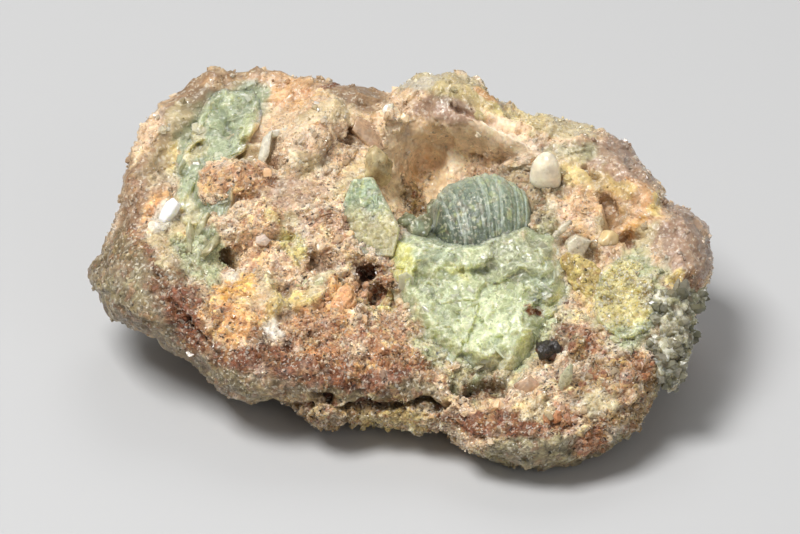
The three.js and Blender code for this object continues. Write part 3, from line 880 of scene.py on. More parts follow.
@dataclass
class Rock:
    """The weathered matrix: a fine shell over the solid rock, with blocks, crumbs, holes and stains.

    cells: cells along each side of the front grid.
    centre: middle of the display face in millimetres.
    rounds: how often the shell is evened out before it is roughened.
    heaps: sizes of its ledges, blocks, crumbs and grit in millimetres.
    """

    frame: DisplayFrame
    solid: Object
    cells: int = 280
    centre: tuple[float, float] = (0.0, 1.0)
    rounds: int = 8
    heaps: tuple[float, float, float, float] = (5.2, 2.4, 1.15, 0.62)
    sheets: dict[Side, Array] = field(init=False)
    outward: dict[Side, Array] = field(init=False)
    looks: dict[Side, Array] = field(init=False)

    def rim(self, angle: Array) -> Array:
        """How far the solid reaches from the face's middle, seen along the display direction.

        Args:
            angle: directions in radians.

        Returns:
            The reach in millimetres in each direction.
        """
        mesh = self.solid.data
        points = self.frame.to_display(read_rows(mesh.vertices, "co", 3))
        flat = (points[:, :2] - self.centre)[read_rows(mesh.edges, "vertices", 2, np.int32)]
        table = np.linspace(-np.pi, np.pi, 1441)
        return np.interp((angle + np.pi) % (2.0 * np.pi) - np.pi, table, furthest_crossing(flat, table))

    def lay_sheet(self, grid: DiscGrid, side: Side) -> Array:
        """Lays one grid over the solid; the border takes the depth between front and back.

        Args:
            grid: the rock's grid.
            side: the side that it covers.

        Returns:
            The grid's points in display millimetres.
        """
        share, angle = grid.polar(1 if side is Side.FRONT else grid.coarse)
        radius = share * self.rim(angle) * 0.997
        ab = np.stack([np.cos(angle), np.sin(angle)], axis=-1) * radius[..., None] + self.centre
        near = (ab - self.centre) * np.where(share > 0.99, 0.985, 1.0)[..., None] + self.centre
        depths = [surface_depth(near.reshape(-1, 2), self.solid, self.frame, s) for s in Side]
        own = depths[0] if side is Side.FRONT else depths[1]
        depth = np.where(share.ravel() > 0.999, (depths[0] + depths[1]) / 2.0, own)
        return np.concatenate([ab, depth.reshape(*share.shape, 1)], axis=-1)

    def back_stain(self, points: Array) -> Array:
        """Broken rock behind and below: rind, rust, pink and cream in frayed clouds.

        Args:
            points: surface points in display millimetres.

        Returns:
            One row of a mineral's look for each point.
        """
        look = np.broadcast_to(M.RIND.value.row(), (*points.shape[:-1], LOOK_COLUMNS))
        for mineral, scale, seed, edge in CLOUDS:
            weight = smoothstep(edge, edge + 0.35, fractal(points, scale, seed))
            look = mix(look, mineral.value.row(), weight)
        return look

    @staticmethod
    def worn(points: Array) -> Array:
        """How worn the face is, from 0 in front to 1 towards the rims at the back and on the right."""
        right = smoothstep(16.0, 26.0, points[..., 0]) * smoothstep(-6.0, 4.0, points[..., 1])
        return np.clip(smoothstep(6.0, 18.0, points[..., 1]) + right, 0.0, 1.0)

    def roughen(self, points: Array, look: Array, side: Side) -> tuple[Array, Array]:
        """Height of the fine relief, and how far each point lies in a hollow of it.

        Ledges, blocks, crumbs and grit are heaps of flat-faced blocks of falling size, swells are smooth
        noise and pits lie where another noise is high; the mineral gives the height of each. Cuts are
        taken off the front at the end. The shade is painted shade: lighter on crests and block edges,
        darker in pits, hollows and cuts.

        Args:
            points: surface points in display millimetres.
            look: each point's mineral.
            side: which side of the rock they lie on.

        Returns:
            Height in millimetres, and painted shade from 0 in a hollow to about 1 on a crest.
        """
        bent = points + 0.35 * drift(points, 1.6, (71, 73, 79), 2)
        ledge, block, crumb, grain = self.heaps
        ledges = facets(bent, ledge, 81)
        blocks, edges = blocks_and_edges(bent, block, 83)
        crumbs, rims = blocks_and_edges(bent, crumb, 89)
        grit = facets(bent, grain, 97)
        pits = look[..., GRIT] * smoothstep(0.35, 0.8, fractal(points, 1.7, 117, 3))
        height = 0.35 * fractal(points, 7.0, 101) + look[..., BLOCKS] * (0.6 * ledges + 0.45 * blocks)
        height += look[..., CRUMBS] * (0.85 * crumbs + 0.65 * grit) - 0.6 * pits
        # Painted shade: lighter on crumbs, grit, blocks and the blocks' edges, darker in pits
        shade = 0.84 + 0.1 * crumbs + 0.1 * grit + 0.06 * blocks + 0.1 * edges + 0.12 * rims - 0.3 * pits
        if side is Side.FRONT:
            wander = 0.8 * drift(points, 2.4, (103, 107), 4)
            carved = sum(cut.carve(points[..., :2] + wander) for cut in CUTS)
            height -= carved
            # In front the painted shade has more contrast, less where the face is worn, and the cuts are
            # darkened as painted shade in holes and cracks
            shade = 0.86 + (shade - 0.86) * (1.45 - 0.9 * self.worn(points))
            shade -= 0.22 * np.clip(carved, 0.0, 2.4)
        return height, np.clip(shade, 0.12, 1.15)

    def build(self) -> Object:
        """Builds the rock's shell, roughens and stains it, paints shade into its colour, and lets it rest on
        its flat underside.

        Returns:
            The rock's object.
        """
        grid = DiscGrid(self.cells)
        front = self.lay_sheet(grid, Side.FRONT)
        back = self.lay_sheet(grid, Side.BACK)
        for _ in range(self.rounds):
            grid.relax(front, 2)
            back[0], back[-1] = front[0, :: grid.coarse], front[-1, :: grid.coarse]
            back[:, 0], back[:, -1] = front[:: grid.coarse, 0], front[:: grid.coarse, -1]
            grid.even_out(back)
        nearness = smoothstep(0.72, 0.97, grid.polar(grid.coarse)[0])
        face = face_look(front, front[..., :2])
        face[..., [CRUMBS, SUGAR, GRIT]] *= (1.0 - 0.6 * self.worn(front))[..., None]
        rear = mix(self.back_stain(back), face_look(back, back[..., :2]), nearness)
        self.looks = {Side.FRONT: face, Side.BACK: rear}
        self.sheets = {Side.FRONT: front, Side.BACK: back}
        self.outward = {}
        tints = []
        for side, sheet in self.sheets.items():
            height, shade = self.roughen(sheet, self.looks[side], side)
            sheet += grid.normals(sheet) * side.value * height[..., None]
            self.outward[side] = grid.normals(sheet) * side.value
            tints.append(self.tint(sheet, self.looks[side], shade))
        inner = [front.reshape(-1, 3), back[1:-1, 1:-1].reshape(-1, 3)]
        points = self.frame.resting(np.concatenate(inner))
        piece = make_object("rock", points, grid.backed_faces(), True)
        tint = [tints[0].reshape(-1, 3), tints[1][1:-1, 1:-1].reshape(-1, 3)]
        grit = [face[..., GRIT].ravel(), rear[1:-1, 1:-1, GRIT].ravel()]
        set_tint(piece, np.concatenate(tint), np.concatenate(grit))
        return piece

    def ground(self, side: Side) -> Ground:
        """One side of the rock as a ground for small crystals, none of them where it rests."""
        above = smoothstep(0.5, 1.5, self.frame.to_part(self.sheets[side])[..., 2] / MM)
        return Ground.from_sheet(self.sheets[side], self.outward[side], self.looks[side], above)

    @staticmethod
    def tint(points: Array, look: Array, shade: Array) -> Array:
        """Colour of the bare rock: mottled, with spots where it is sandy and pale, and painted shade that is
        darker and browner in hollows.

        Args:
            points: surface points in display millimetres.
            look: each point's mineral.
            shade: the painted shade, by how far it lies out of a hollow.

        Returns:
            A linear colour for each point.
        """
        mottle = 1.0 + 0.22 * fractal(points, 1.8, 109, 3)
        colour = look[..., COLOUR] * mottle[..., None]
        bare = 0.5 * look[..., GRIT] * (0.3 + 0.7 * smoothstep(0.08, 0.4, look[..., LIGHT]))
        for spot, scale, seed in SPOTS:
            weight = bare * smoothstep(0.3, 0.65, fractal(points, scale, seed, 4))
            colour = mix(colour, linear(spot), weight)
        # Painted shade: darker and browner in hollows, lighter on crests
        return colour * shade[..., None] ** PAINTED_SHADE_POWERS


# Small crystals, stones and single crystals


@dataclass(frozen=True)
class Ground:
    """Points of a surface that small crystals can grow on.

    points: places in display millimetres, one in each row.
    outward: the way out of the surface at each.
    area: how much of the surface each stands for.
    colour: the surface's linear colour at each.
    sugar: how thickly loose crystals cover it, from 0 to 1.
    clear: how many of them are pale and glassy, from 0 to 1.
    """

    points: Array
    outward: Array
    area: Array
    colour: Array
    sugar: Array
    clear: Array

    @staticmethod
    def from_sheet(sheet: Array, outward: Array, look: Array, share: Array) -> Ground:
        """The ground of a grid of points, where the area is the product of the grid's two steps.

        Args:
            sheet: the grid's points in display millimetres.
            outward: the way out of it at each.
            look: each point's mineral.
            share: how much of its crystals each point keeps, from 0 to 1.

        Returns:
            The ground.
        """
        steps = [np.gradient(sheet, axis=k) for k in (0, 1)]
        area = np.linalg.norm(np.cross(*steps), axis=-1).ravel()
        flat = (sheet.reshape(-1, 3), outward.reshape(-1, 3), area, look[..., COLOUR].reshape(-1, 3))
        return Ground(*flat, (look[..., SUGAR] * share).ravel(), (look[..., CLEAR] * share).ravel())

    def pick(self, rng: np.random.Generator, count: int, liking: Array, seed: int) -> Array:
        """Random rows, more of them where the surface is larger and the liking greater, in clumps.

        Args:
            rng: where the random numbers come from.
            count: how many rows.
            liking: how well each row suits a crystal.
            seed: picks the clumps.

        Returns:
            The rows' numbers.
        """
        clump = smoothstep(-0.5, 0.5, fractal(self.points, 3.0, seed, 2))
        chance = self.area * liking * (0.3 + clump)
        return rng.choice(len(self.points), count, p=chance / chance.sum())


@dataclass(frozen=True)
class Template:
    """A small closed crystal about its own middle, with a half size of about one."""

    points: Array
    triangles: Array

    @staticmethod
    def rings(heights: list[float], radii: list[float], sides: int, twist: float = 0.0) -> Template:
        """A crystal of stacked rings of points, closed by a point at each end.

        Args:
            heights: height of each ring, from the bottom up.
            radii: radius of each ring.
            sides: points in each ring.
            twist: turn of every second ring, as a share of a side.

        Returns:
            The crystal's points and triangles, facing outwards.
        """
        angle = np.arange(sides) * 2.0 * np.pi / sides
        rows = []
        for i, (height, radius) in enumerate(zip(heights, radii)):
            turned = angle + (i % 2) * twist * 2.0 * np.pi / sides
            ring = [np.cos(turned) * radius, np.sin(turned) * radius, np.full(sides, height)]
            rows.append(np.stack(ring, axis=1))
        ends = np.array([[0.0, 0.0, heights[0]], [0.0, 0.0, heights[-1]]])
        points = np.concatenate([*rows, ends])
        i = np.arange(sides)
        j = (i + 1) % sides
        low, high = len(points) - 2, len(points) - 1
        last = (len(heights) - 1) * sides
        parts = [np.stack([np.full(sides, low), j, i], axis=1)]
        for k in range(len(heights) - 1):
            base = k * sides
            parts.append(np.stack([base + i, base + j, base + sides + j], axis=1))
            parts.append(np.stack([base + i, base + sides + j, base + sides + i], axis=1))
        parts.append(np.stack([np.full(sides, high), last + i, last + j], axis=1))
        return Template(points, np.concatenate(parts))

    @staticmethod
    def ball(rounds: int) -> Template:
        """A sphere of even triangles: an icosahedron whose faces are split into four again and again.

        Args:
            rounds: how often, counting the first form as one.

        Returns:
            The sphere, with a radius of one.
        """
        sphere = bmesh.new()
        bmesh.ops.create_icosphere(sphere, subdivisions=rounds, radius=1.0)
        points = np.array([v.co[:] for v in sphere.verts])
        triangles = np.array([[v.index for v in f.verts] for f in sphere.faces])
        sphere.free()
        return Template(points, triangles)

    def copies(self, count: int) -> Array:
        """Triangles of many copies of the crystal, one after another."""
        first = np.arange(count)[:, None, None] * len(self.points)
        return (self.triangles[None] + first).reshape(-1, 3)


GRAIN = Template(
    np.array([[1.0, 0.0, 0.0], [-0.5, 0.87, 0.0], [-0.5, -0.87, 0.0], [0.0, 0.0, 0.9], [0.0, 0.0, -0.9]]),
    np.array([[0, 1, 3], [1, 2, 3], [2, 0, 3], [1, 0, 4], [2, 1, 4], [0, 2, 4]]),
)
CANDY = Template.rings([-0.8, 0.2, 0.72], [0.9, 1.0, 0.6], 5, 0.35)
CHUNK = Template.rings([-0.8, -0.1, 0.75], [0.6, 1.0, 0.55], 4, 0.5)
TABLET = Template.rings([-0.5, -0.3, 0.3, 0.5], [0.82, 1.0, 1.0, 0.82], 6)
PRISM = Template.rings([-1.0, 0.55, 1.0], [0.9, 1.0, 0.25], 6)


def upright_frames(up: Array, rng: np.random.Generator, lean: float) -> Array:
    """Random turned frames whose third axis follows a direction, more or less.

    Args:
        up: the direction for each frame.
        rng: where the random numbers come from.
        lean: how far the third axis may stray; 0 follows the direction exactly.

    Returns:
        One frame for each direction, with an axis in each row.
    """
    third = unit(up + lean * rng.normal(size=up.shape))
    first = unit(np.cross(third, rng.normal(size=up.shape)))
    return np.stack([first, np.cross(third, first), third], axis=1)


def set_down(local: Array, axes: Array, at: Array) -> Array:
    """Points of many things: each thing's middle plus its own axes times the points about its middle."""
    return at[:, None] + np.einsum("mvk,mkx->mvx", local, axes)


@dataclass
class Sugar:
    """Small crystals strewn over a ground, as thick as the ground wants them.

    half: smallest and largest half size in millimetres.
    shape: half sizes along the crystal's own axes, as shares of that.
    lean: how far the crystals stray from the way out of the ground.
    sink: share of its half size that a crystal's middle lies below the surface.
    pale: greatest share of white in a crystal's colour.
    vary: how much lighter or darker than the ground a crystal may be.
    """

    name: str
    frame: DisplayFrame
    ground: Ground
    template: Template
    count: int
    half: tuple[float, float]
    seed: int
    shape: tuple[float, float, float] = (1.0, 1.0, 1.0)
    lean: float = 0.8
    sink: float = 0.1
    pale: float = 0.4
    glassy: bool = False
    vary: float = 0.25

    def build(self) -> Object:
        """Picks places and strews the crystals there: place plus frame times template times sizes.

        Returns:
            The crystals as one object.
        """
        rng = np.random.default_rng(self.seed)
        ground = self.ground
        pick = ground.pick(rng, self.count, ground.clear if self.glassy else ground.sugar, self.seed)
        half = self.half[0] + rng.random(self.count) ** 2.2 * (self.half[1] - self.half[0])
        sizes = half[:, None] * rng.uniform(0.65, 1.2, (self.count, 3)) * self.shape
        axes = upright_frames(ground.outward[pick], rng, self.lean)
        scatter = rng.uniform(-0.15, 0.15, (self.count, 3))
        at = ground.points[pick] + scatter - ground.outward[pick] * (self.sink * half)[:, None]
        jitter = rng.uniform(0.8, 1.2, (self.count, len(self.template.points), 1))
        local = self.template.points[None] * sizes[:, None, :] * jitter
        part = self.frame.resting(set_down(local, axes, at).reshape(-1, 3))
        piece = make_object(self.name, part, [self.template.copies(self.count)], False)
        white = self.pale * rng.random((self.count, 1)) ** 2
        light = rng.uniform(1.0 - self.vary, 1.0 + self.vary, (self.count, 1))
        colour = ground.colour[pick] * light * (1.0 - white) + white * linear(FROST)
        set_tint(piece, np.repeat(colour, len(self.template.points), axis=0), 0.3)
        return piece


@dataclass(frozen=True)
class Placed:
    """A stone or crystal put on the face at a given place, in millimetres and degrees.

    half: half sizes along its own axes; the third one leaves the face.
    lift: how far its middle stands above the rock.
    lean: how far it tips to the right and up.
    """

    at: tuple[float, float]
    half: tuple[float, float, float]
    colour: Colour
    lift: float = 0.0
    lean: tuple[float, float] = (0.0, 0.0)
    turn: float = 0.0

    def axes(self) -> Array:
        """Its own axes in the display frame.

        Returns:
            One axis in each row.
        """
        right, up, turn = np.radians([*self.lean, self.turn])
        tipped = Matrix.Rotation(right, 3, "Y") @ Matrix.Rotation(-up, 3, "X")
        return np.array(tipped @ Matrix.Rotation(turn, 3, "Z")).T


def set_on_rock(places: tuple[Placed, ...], rock: Rock) -> tuple[Array, Array, Array, Array]:
    """Middles, axes, half sizes and linear colours of listed things put on the solid rock.

    Args:
        places: the things.
        rock: the rock that they stand on.

    Returns:
        Four arrays with a row for each thing.
    """
    ab = np.array([p.at for p in places])
    depth = surface_depth(ab, rock.solid, rock.frame, Side.FRONT) + [p.lift for p in places]
    axes = np.stack([p.axes() for p in places])
    half = np.array([p.half for p in places])
    return np.column_stack([ab, depth]), axes, half, np.stack([linear(p.colour) for p in places])


def soft_planes(directions: Array, normals: Array, distances: Array, power: float) -> Array:
    """Radius of solids cut from planes, in many directions.

    With n a plane's direction, h its distance and u a direction, the radius is the sum over planes of
    (n.u / h)^p, to the power -1/p; a high p gives sharp edges.

    Args:
        directions: unit directions, one in each row.
        normals: directions of each solid's planes.
        distances: distances of each solid's planes.
        power: p.

    Returns:
        One row of radii for each solid.
    """
    facing = np.clip(np.einsum("vx,mkx->mvk", directions, normals), 1e-6, None)
    return ((facing / distances[:, None]) ** power).sum(axis=-1) ** (-1.0 / power)


@dataclass
class Stones:
    """Rough lumps that stand out of the rock, at listed places.

    rough: height of the smaller blocks in millimetres.
    rounds: how often a lump's mesh is split.
    planes: how many flat faces a lump is cut from.
    grit: how sandy its surface is, from 0 for glassy to 1.
    """

    name: str
    rock: Rock
    seed: int
    places: tuple[Placed, ...]
    rough: float = 0.4
    rounds: int = 3
    planes: int = 11
    grit: float = 0.8

    def build(self) -> Object:
        """Blocks of random planes, pushed out and in by heaps of smaller blocks of two sizes.

        Returns:
            The lumps as one object.
        """
        rng = np.random.default_rng(self.seed)
        at, axes, half, colour = set_on_rock(self.places, self.rock)
        ball = Template.ball(self.rounds)
        normals = unit(rng.normal(size=(len(at), self.planes, 3)))
        form = soft_planes(ball.points, normals, rng.uniform(0.72, 1.0, (len(at), self.planes)), 16.0)
        form = np.minimum(form, 1.3)[..., None]
        world = set_down(ball.points[None] * form * half[:, None], axes, at)
        crumbs = facets(world, 1.2, self.seed + 3)
        grit = facets(world, 0.55, self.seed + 5)
        fine = self.rough * (0.5 * crumbs + 0.25 * grit)
        local = ball.points[None] * (half[:, None] * form + fine[..., None])
        part = self.rock.frame.resting(set_down(local, axes, at).reshape(-1, 3))
        piece = make_object(self.name, part, [ball.copies(len(at))], True)
        mottle = 1.0 + 0.2 * fractal(world, 1.6, self.seed + 7, 3)
        # Painted shade: raised crumbs and grit lighter, low parts darker and browner, times a random mottle
        shade = np.clip(0.86 + 0.18 * crumbs + 0.14 * grit, 0.3, 1.2) * mottle
        tint = colour[:, None] * shade[..., None] ** PAINTED_SHADE_POWERS
        set_tint(piece, tint.reshape(-1, 3), self.grit)
        return piece


@dataclass
class Gems:
    """Crystals with flat faces and softened edges, put on the rock at listed places.

    sides: how many faces go round each crystal.
    tip: how steeply the faces at its end slope, from 0 for none to 1.
    soft: how round the edges are, from 0 up.
    bands: how strongly its colour is banded along its length.
    """

    name: str
    rock: Rock
    places: tuple[Placed, ...]
    seed: int
    sides: int = 6
    tip: float = 0.6
    soft: float = 0.02
    bands: float = 0.1
    rounds: int = 4

    def build(self) -> Object:
        """Sides, sloping ends and flat ends as soft planes, each set a little askew.

        Returns:
            The crystals as one object.
        """
        rng = np.random.default_rng(self.seed)
        at, axes, half, colour = set_on_rock(self.places, self.rock)
        ball = Template.ball(self.rounds)
        count = len(at)
        turns = (np.arange(self.sides) + 0.5) * 2.0 * np.pi / self.sides
        around = np.stack([np.cos(turns), np.sin(turns), np.zeros(self.sides)], axis=1)
        sloped = unit(around + [0.0, 0.0, 1.0 / max(self.tip, 0.05)])
        planes = np.concatenate([around, sloped, [[0.0, 0.0, 1.0], [0.0, 0.0, -1.0]]])
        normals = unit(planes[None] + 0.16 * rng.normal(size=(count, *planes.shape)))
        distances = rng.uniform(0.78, 1.0, (count, len(planes)))
        radius = soft_planes(ball.points, normals, distances, 1.0 / self.soft)
        local = ball.points[None] * np.minimum(radius, 1.35)[..., None] * half[:, None]
        points = set_down(local, axes, at)
        points += 0.04 * drift(points, 0.8, range(self.seed, self.seed + 3), 3)
        part = self.rock.frame.to_part(points.reshape(-1, 3))
        piece = make_object(self.name, part, [ball.copies(count)], True)
        bands = self.bands * fractal(local * [0.3, 0.3, 3.0], 1.0, self.seed + 11, 3)
        value = 1.0 + bands + 0.22 * fractal(points, 1.1, 5, 4)
        set_tint(piece, (colour[:, None] * value[..., None]).reshape(-1, 3), 0.5)
        return piece


@dataclass
class Tube:
    """A thin rod of crystal along a path on the face.

    path: points on the face with a lift above the rock, in millimetres.
    radius: half the rod's width.
    steps: points along the rod.
    around: points round it.
    """

    name: str
    rock: Rock
    path: tuple[tuple[float, float, float], ...]
    radius: float
    colour: Colour
    seed: int
    steps: int = 70
    around: int = 18

    def build(self) -> Object:
        """A circle swept along the smoothed path, thinner at both ends and pushed about by blocks.

        Returns:
            The rod's object.
        """
        knots = np.array(self.path)
        t = np.linspace(0.0, len(knots) - 1.0, self.steps)
        flat = np.stack([np.interp(t, np.arange(len(knots)), knots[:, k]) for k in range(3)], axis=1)
        for _ in range(self.steps // 6):
            flat[1:-1] = (flat[:-2] + 2.0 * flat[1:-1] + flat[2:]) / 4.0
        flat[:, 2] += surface_depth(flat[:, :2], self.rock.solid, self.rock.frame, Side.FRONT)
        ahead = unit(np.gradient(flat, axis=0))
        side = unit(np.cross(ahead, [0.0, 0.0, 1.0]))
        up = np.cross(side, ahead)
        turn = np.linspace(0.0, 2.0 * np.pi, self.around, endpoint=False)
        taper = np.clip(1.0 - np.abs(np.linspace(-1.0, 1.0, self.steps)) ** 6, 0.0, 1.0) ** 0.5
        width = (self.radius * (0.05 + 0.95 * taper))[:, None]
        rough = flat[:, None] + self.radius * np.cos(turn)[None, :, None] * side[:, None]
        swell = 1.0 + 0.22 * facets(rough, 0.9, self.seed) + 0.12 * facets(rough, 0.4, self.seed + 3)
        x = (width * swell * np.cos(turn))[..., None] * side[:, None]
        y = (width * swell * np.sin(turn))[..., None] * up[:, None]
        numbers, _, quads = ring_faces(self.steps, self.around)
        caps = [numbers[0][None], numbers[-1][::-1][None]]
        every = (flat[:, None] + x + y).reshape(-1, 3)
        piece = make_object(self.name, self.rock.frame.to_part(every), [quads, *caps], True)
        value = np.clip(0.95 + 0.25 * fractal(every, 1.2, self.seed + 5, 3), 0.5, 1.3)
        set_tint(piece, linear(self.colour) * value[:, None])
        return piece


# Prehnite


@dataclass
class Fan:
    """The prehnite fan: tabular crystals side by side, like the leaves of a half-open book.

    at: where its middle stands on the face, in millimetres.
    lift: how far its middle lies above the rock.
    lean: how far the leaves lean to the right and up the face, in degrees.
    half_width: half the width across the leaves.
    radius: radius of the middle leaf.
    leaves: how many leaves there are, each with several plates.
    hinge: distance below the middle from which the leaves spread.
    flat: how thick it is, as a share of its height.
    groove: depth of the grooves between leaves in millimetres.
    rows: points across the leaves, and columns those round them.
    leaf_colour, stain_colour, streak_colour: its colours, as a screen shows them.
    """

    rock: Rock
    at: tuple[float, float] = (9.5, 4.0)
    lift: float = 2.4
    lean: tuple[float, float] = (16.0, 18.0)
    half_width: float = 6.3
    radius: float = 7.0
    leaves: int = 10
    plates: int = 4
    hinge: float = 36.0
    flat: float = 0.84
    groove: float = 0.34
    rows: int = 250
    columns: int = 130
    leaf_colour: Colour = (128, 139, 119)
    stain_colour: Colour = (200, 204, 128)
    streak_colour: Colour = (228, 234, 220)

    def build(self) -> Object:
        """A turned profile with a groove between leaves and fine plates on each leaf, fanned out.

        Across the fan, x runs from -1 to 1. The radius is R (1 - |x|^2.1)^(1/2.1), less a groove that
        deepens with the third power of the distance from a leaf's middle, plus each leaf's own reach.

        Returns:
            The fan's object.
        """
        x = np.linspace(-0.999, 0.999, self.rows)[:, None]
        angle = np.linspace(0.0, 2.0 * np.pi, self.columns, endpoint=False)[None, :]
        around = np.stack(np.broadcast_arrays(x * 6.0, np.cos(angle) * 6.0, np.sin(angle) * 6.0), axis=-1)
        wavy = x + 0.014 * fractal(around, 3.0, 211, 3)
        leaf = (wavy + 1.0) / 2.0 * self.leaves + 0.3 * np.sin(wavy * 9.0)
        plate = leaf * self.plates
        apart = np.abs(2.0 * (leaf - np.floor(leaf)) - 1.0)
        fine = np.abs(2.0 * (plate - np.floor(plate)) - 1.0)
        zero = np.zeros_like(leaf)
        shift = scramble(np.stack([np.floor(plate), zero, zero], axis=-1), 7)
        strip = np.stack([np.floor(plate), zero, np.floor(angle / 0.55 + 3.0 * shift)], axis=-1)
        still = np.stack([np.floor(leaf), zero, zero], axis=-1)
        reach = 0.5 * (scramble(still, 5) - 0.5) + 0.12 * (scramble(strip, 9) - 0.5)
        body = self.radius * (1.0 - np.abs(x) ** 2.1) ** (1.0 / 2.1)
        crumb = 0.12 * facets(around, 0.8, 229) + 0.05 * facets(around, 0.35, 233)
        radius = body + reach - self.groove * (0.4 + np.cos(angle) ** 2) * apart**3 - 0.04 * fine**3 + crumb
        radius = np.maximum(radius * np.minimum(1.0, 8.0 * (1.0 - np.abs(x))), 0.02)
        spread = x * self.half_width / self.hinge + zero
        arm = self.hinge + radius * np.cos(angle)
        deep = self.flat * radius * np.sin(angle)
        local = np.stack([arm * np.sin(spread), arm * np.cos(spread) - self.hinge, deep], axis=-1)
        place = Placed(self.at, (1.0, 1.0, 1.0), (0, 0, 0), self.lift, self.lean)
        middle, axes, _, _ = set_on_rock((place,), self.rock)
        points = local @ axes[0] + middle[0]
        every = np.concatenate([points.reshape(-1, 3), points[[0, -1]].mean(axis=1)])
        piece = make_object("prehnite_fan", self.rock.frame.to_part(every), self.faces(), True)
        # Painted shade: raised crumbs lighter, the grooves at the plates' borders darker; painted light:
        # lighter towards the top rim and the right side
        value = 0.95 + 0.16 * (scramble(strip, 17) - 0.5) - 0.06 * fine**2 + 0.9 * crumb
        value = value * (0.92 + 0.24 * np.cos(angle)) * (1.0 + 0.36 * x)
        colour = linear(self.leaf_colour) * np.clip(value, 0.4, 1.4)[..., None]
        lime = 0.3 * smoothstep(0.3, 0.7, fractal(around, 0.6, 227, 3))
        colour = mix(colour, linear(self.stain_colour), lime)
        lit = 0.25 + 0.75 * smoothstep(0.3, 0.8, scramble(still, 31))
        pale = 0.34 * lit * smoothstep(0.72, 0.97, scramble(strip, 29)) + 0.1 * apart**6
        # Painted light: a paler band along the top rim, besides the pale streaks
        colour = mix(colour, linear(self.streak_colour), pale + 0.2 * smoothstep(0.8, 0.2, angle))
        set_tint(piece, np.concatenate([colour.reshape(-1, 3), colour[[0, -1]].mean(axis=1)]))
        return piece

    def faces(self) -> list[Array]:
        """Four-sided faces round the fan, and triangles to the point at each end.

        Returns:
            One array for each kind of face.
        """
        numbers, after, quads = ring_faces(self.rows, self.columns)
        first = np.full(self.columns, numbers.size)
        left = np.stack([first, numbers[0], after[0]], axis=1)
        right = np.stack([first + 1, after[-1], numbers[-1]], axis=1)
        return [quads, np.concatenate([left, right])]


@dataclass
class Plate:
    """The flat prehnite crystal left of the fan, with a bevelled outline and a sloping left face.

    outline: its corners in its own plane, in millimetres.
    low_colour, high_colour, stain_colour, edge_colour: its colours, as a screen shows them.
    """

    rock: Rock
    outline: tuple[tuple[float, float], ...] = (
        (-2.9, 4.5), (-0.2, 4.9), (3.4, -1.4), (2.6, -4.6), (-3.4, -4.4), (-4.2, -0.2),
    )
    place: Placed = Placed((-3.4, 5.4), (1.0, 1.0, 1.0), (0, 0, 0), 0.7, (-12.0, 14.0))
    thickness: float = 4.4
    cells: int = 90
    low_colour: Colour = (186, 178, 140)
    high_colour: Colour = (144, 157, 128)
    stain_colour: Colour = (206, 202, 120)
    edge_colour: Colour = (226, 226, 200)

    def build(self) -> Object:
        """A grid inside the outline, raised to half the thickness and bevelled towards the border.

        Returns:
            The plate's object.
        """
        grid = DiscGrid(self.cells, 0.3)
        share, angle = grid.polar()
        corners = np.array(self.outline)
        reach = furthest_crossing(np.stack([corners, np.roll(corners, -1, axis=0)], axis=1), angle)
        radius = share * (reach + 0.1)
        x = np.cos(angle) * radius
        y = np.sin(angle) * radius
        left = -0.55 * np.maximum(-x + 0.15 * y - 1.6, 0.0)
        upper = -0.9 * np.maximum(y + 0.3 * x - 3.8, 0.0)
        lower = -0.35 * np.maximum(-y - 0.6 - 0.2 * x, 0.0)
        right = -1.4 * np.maximum(0.87 * x + 0.5 * y - 2.1, 0.0)
        top = left + upper + lower + right
        rise = self.thickness / 2.0 + top - 0.8 * (share > 0.999)
        flat = np.stack([x, y, np.zeros_like(x)], axis=-1)
        blocks = facets(flat, 1.3, 503)
        grit = facets(flat, 0.45, 509)
        front = np.stack([x, y, rise + 0.16 * blocks + 0.1 * grit], axis=-1)
        middle, axes, _, _ = set_on_rock((self.place,), self.rock)
        local = np.concatenate([front.reshape(-1, 3), [[0.0, 0.0, -self.thickness / 2.0]]])
        points = local @ axes[0] + middle[0]
        piece = make_object("prehnite_plate", self.rock.frame.to_part(points), grid.capped_faces(), True)
        green = smoothstep(-1.4, 2.4, y + 0.9 * fractal(flat, 2.0, 521, 3))
        tint = mix(linear(self.low_colour), linear(self.high_colour), green)
        lime = 0.3 * smoothstep(0.3, 0.7, fractal(flat, 0.6, 523, 3))
        tint = mix(tint, linear(self.stain_colour), lime)
        tint = mix(tint, linear(self.edge_colour), 0.2 * smoothstep(0.82, 0.98, share))
        # Painted shade: raised facets lighter, low ones darker
        tint = tint * (1.0 + 0.16 * blocks + 0.12 * grit)[..., None]
        set_tint(piece, np.concatenate([tint.reshape(-1, 3), tint[:1, 0]]))
        return piece


@dataclass(frozen=True)
class Lump:
    """A rounded lump of a crust: its place on the face, half sizes, rise above it and turn."""

    at: tuple[float, float]
    half: tuple[float, float]
    rise: float
    turn: float = 0.0

    def dome(self, ab: Array) -> Array:
        """Height of the lump: the rise times the root of one less the squared share of its half size."""
        along, across = oval_place(ab, self.at, self.half, self.turn)
        return self.rise * np.sqrt(np.clip(1.0 - along**2 - across**2, 0.0, 1.0))


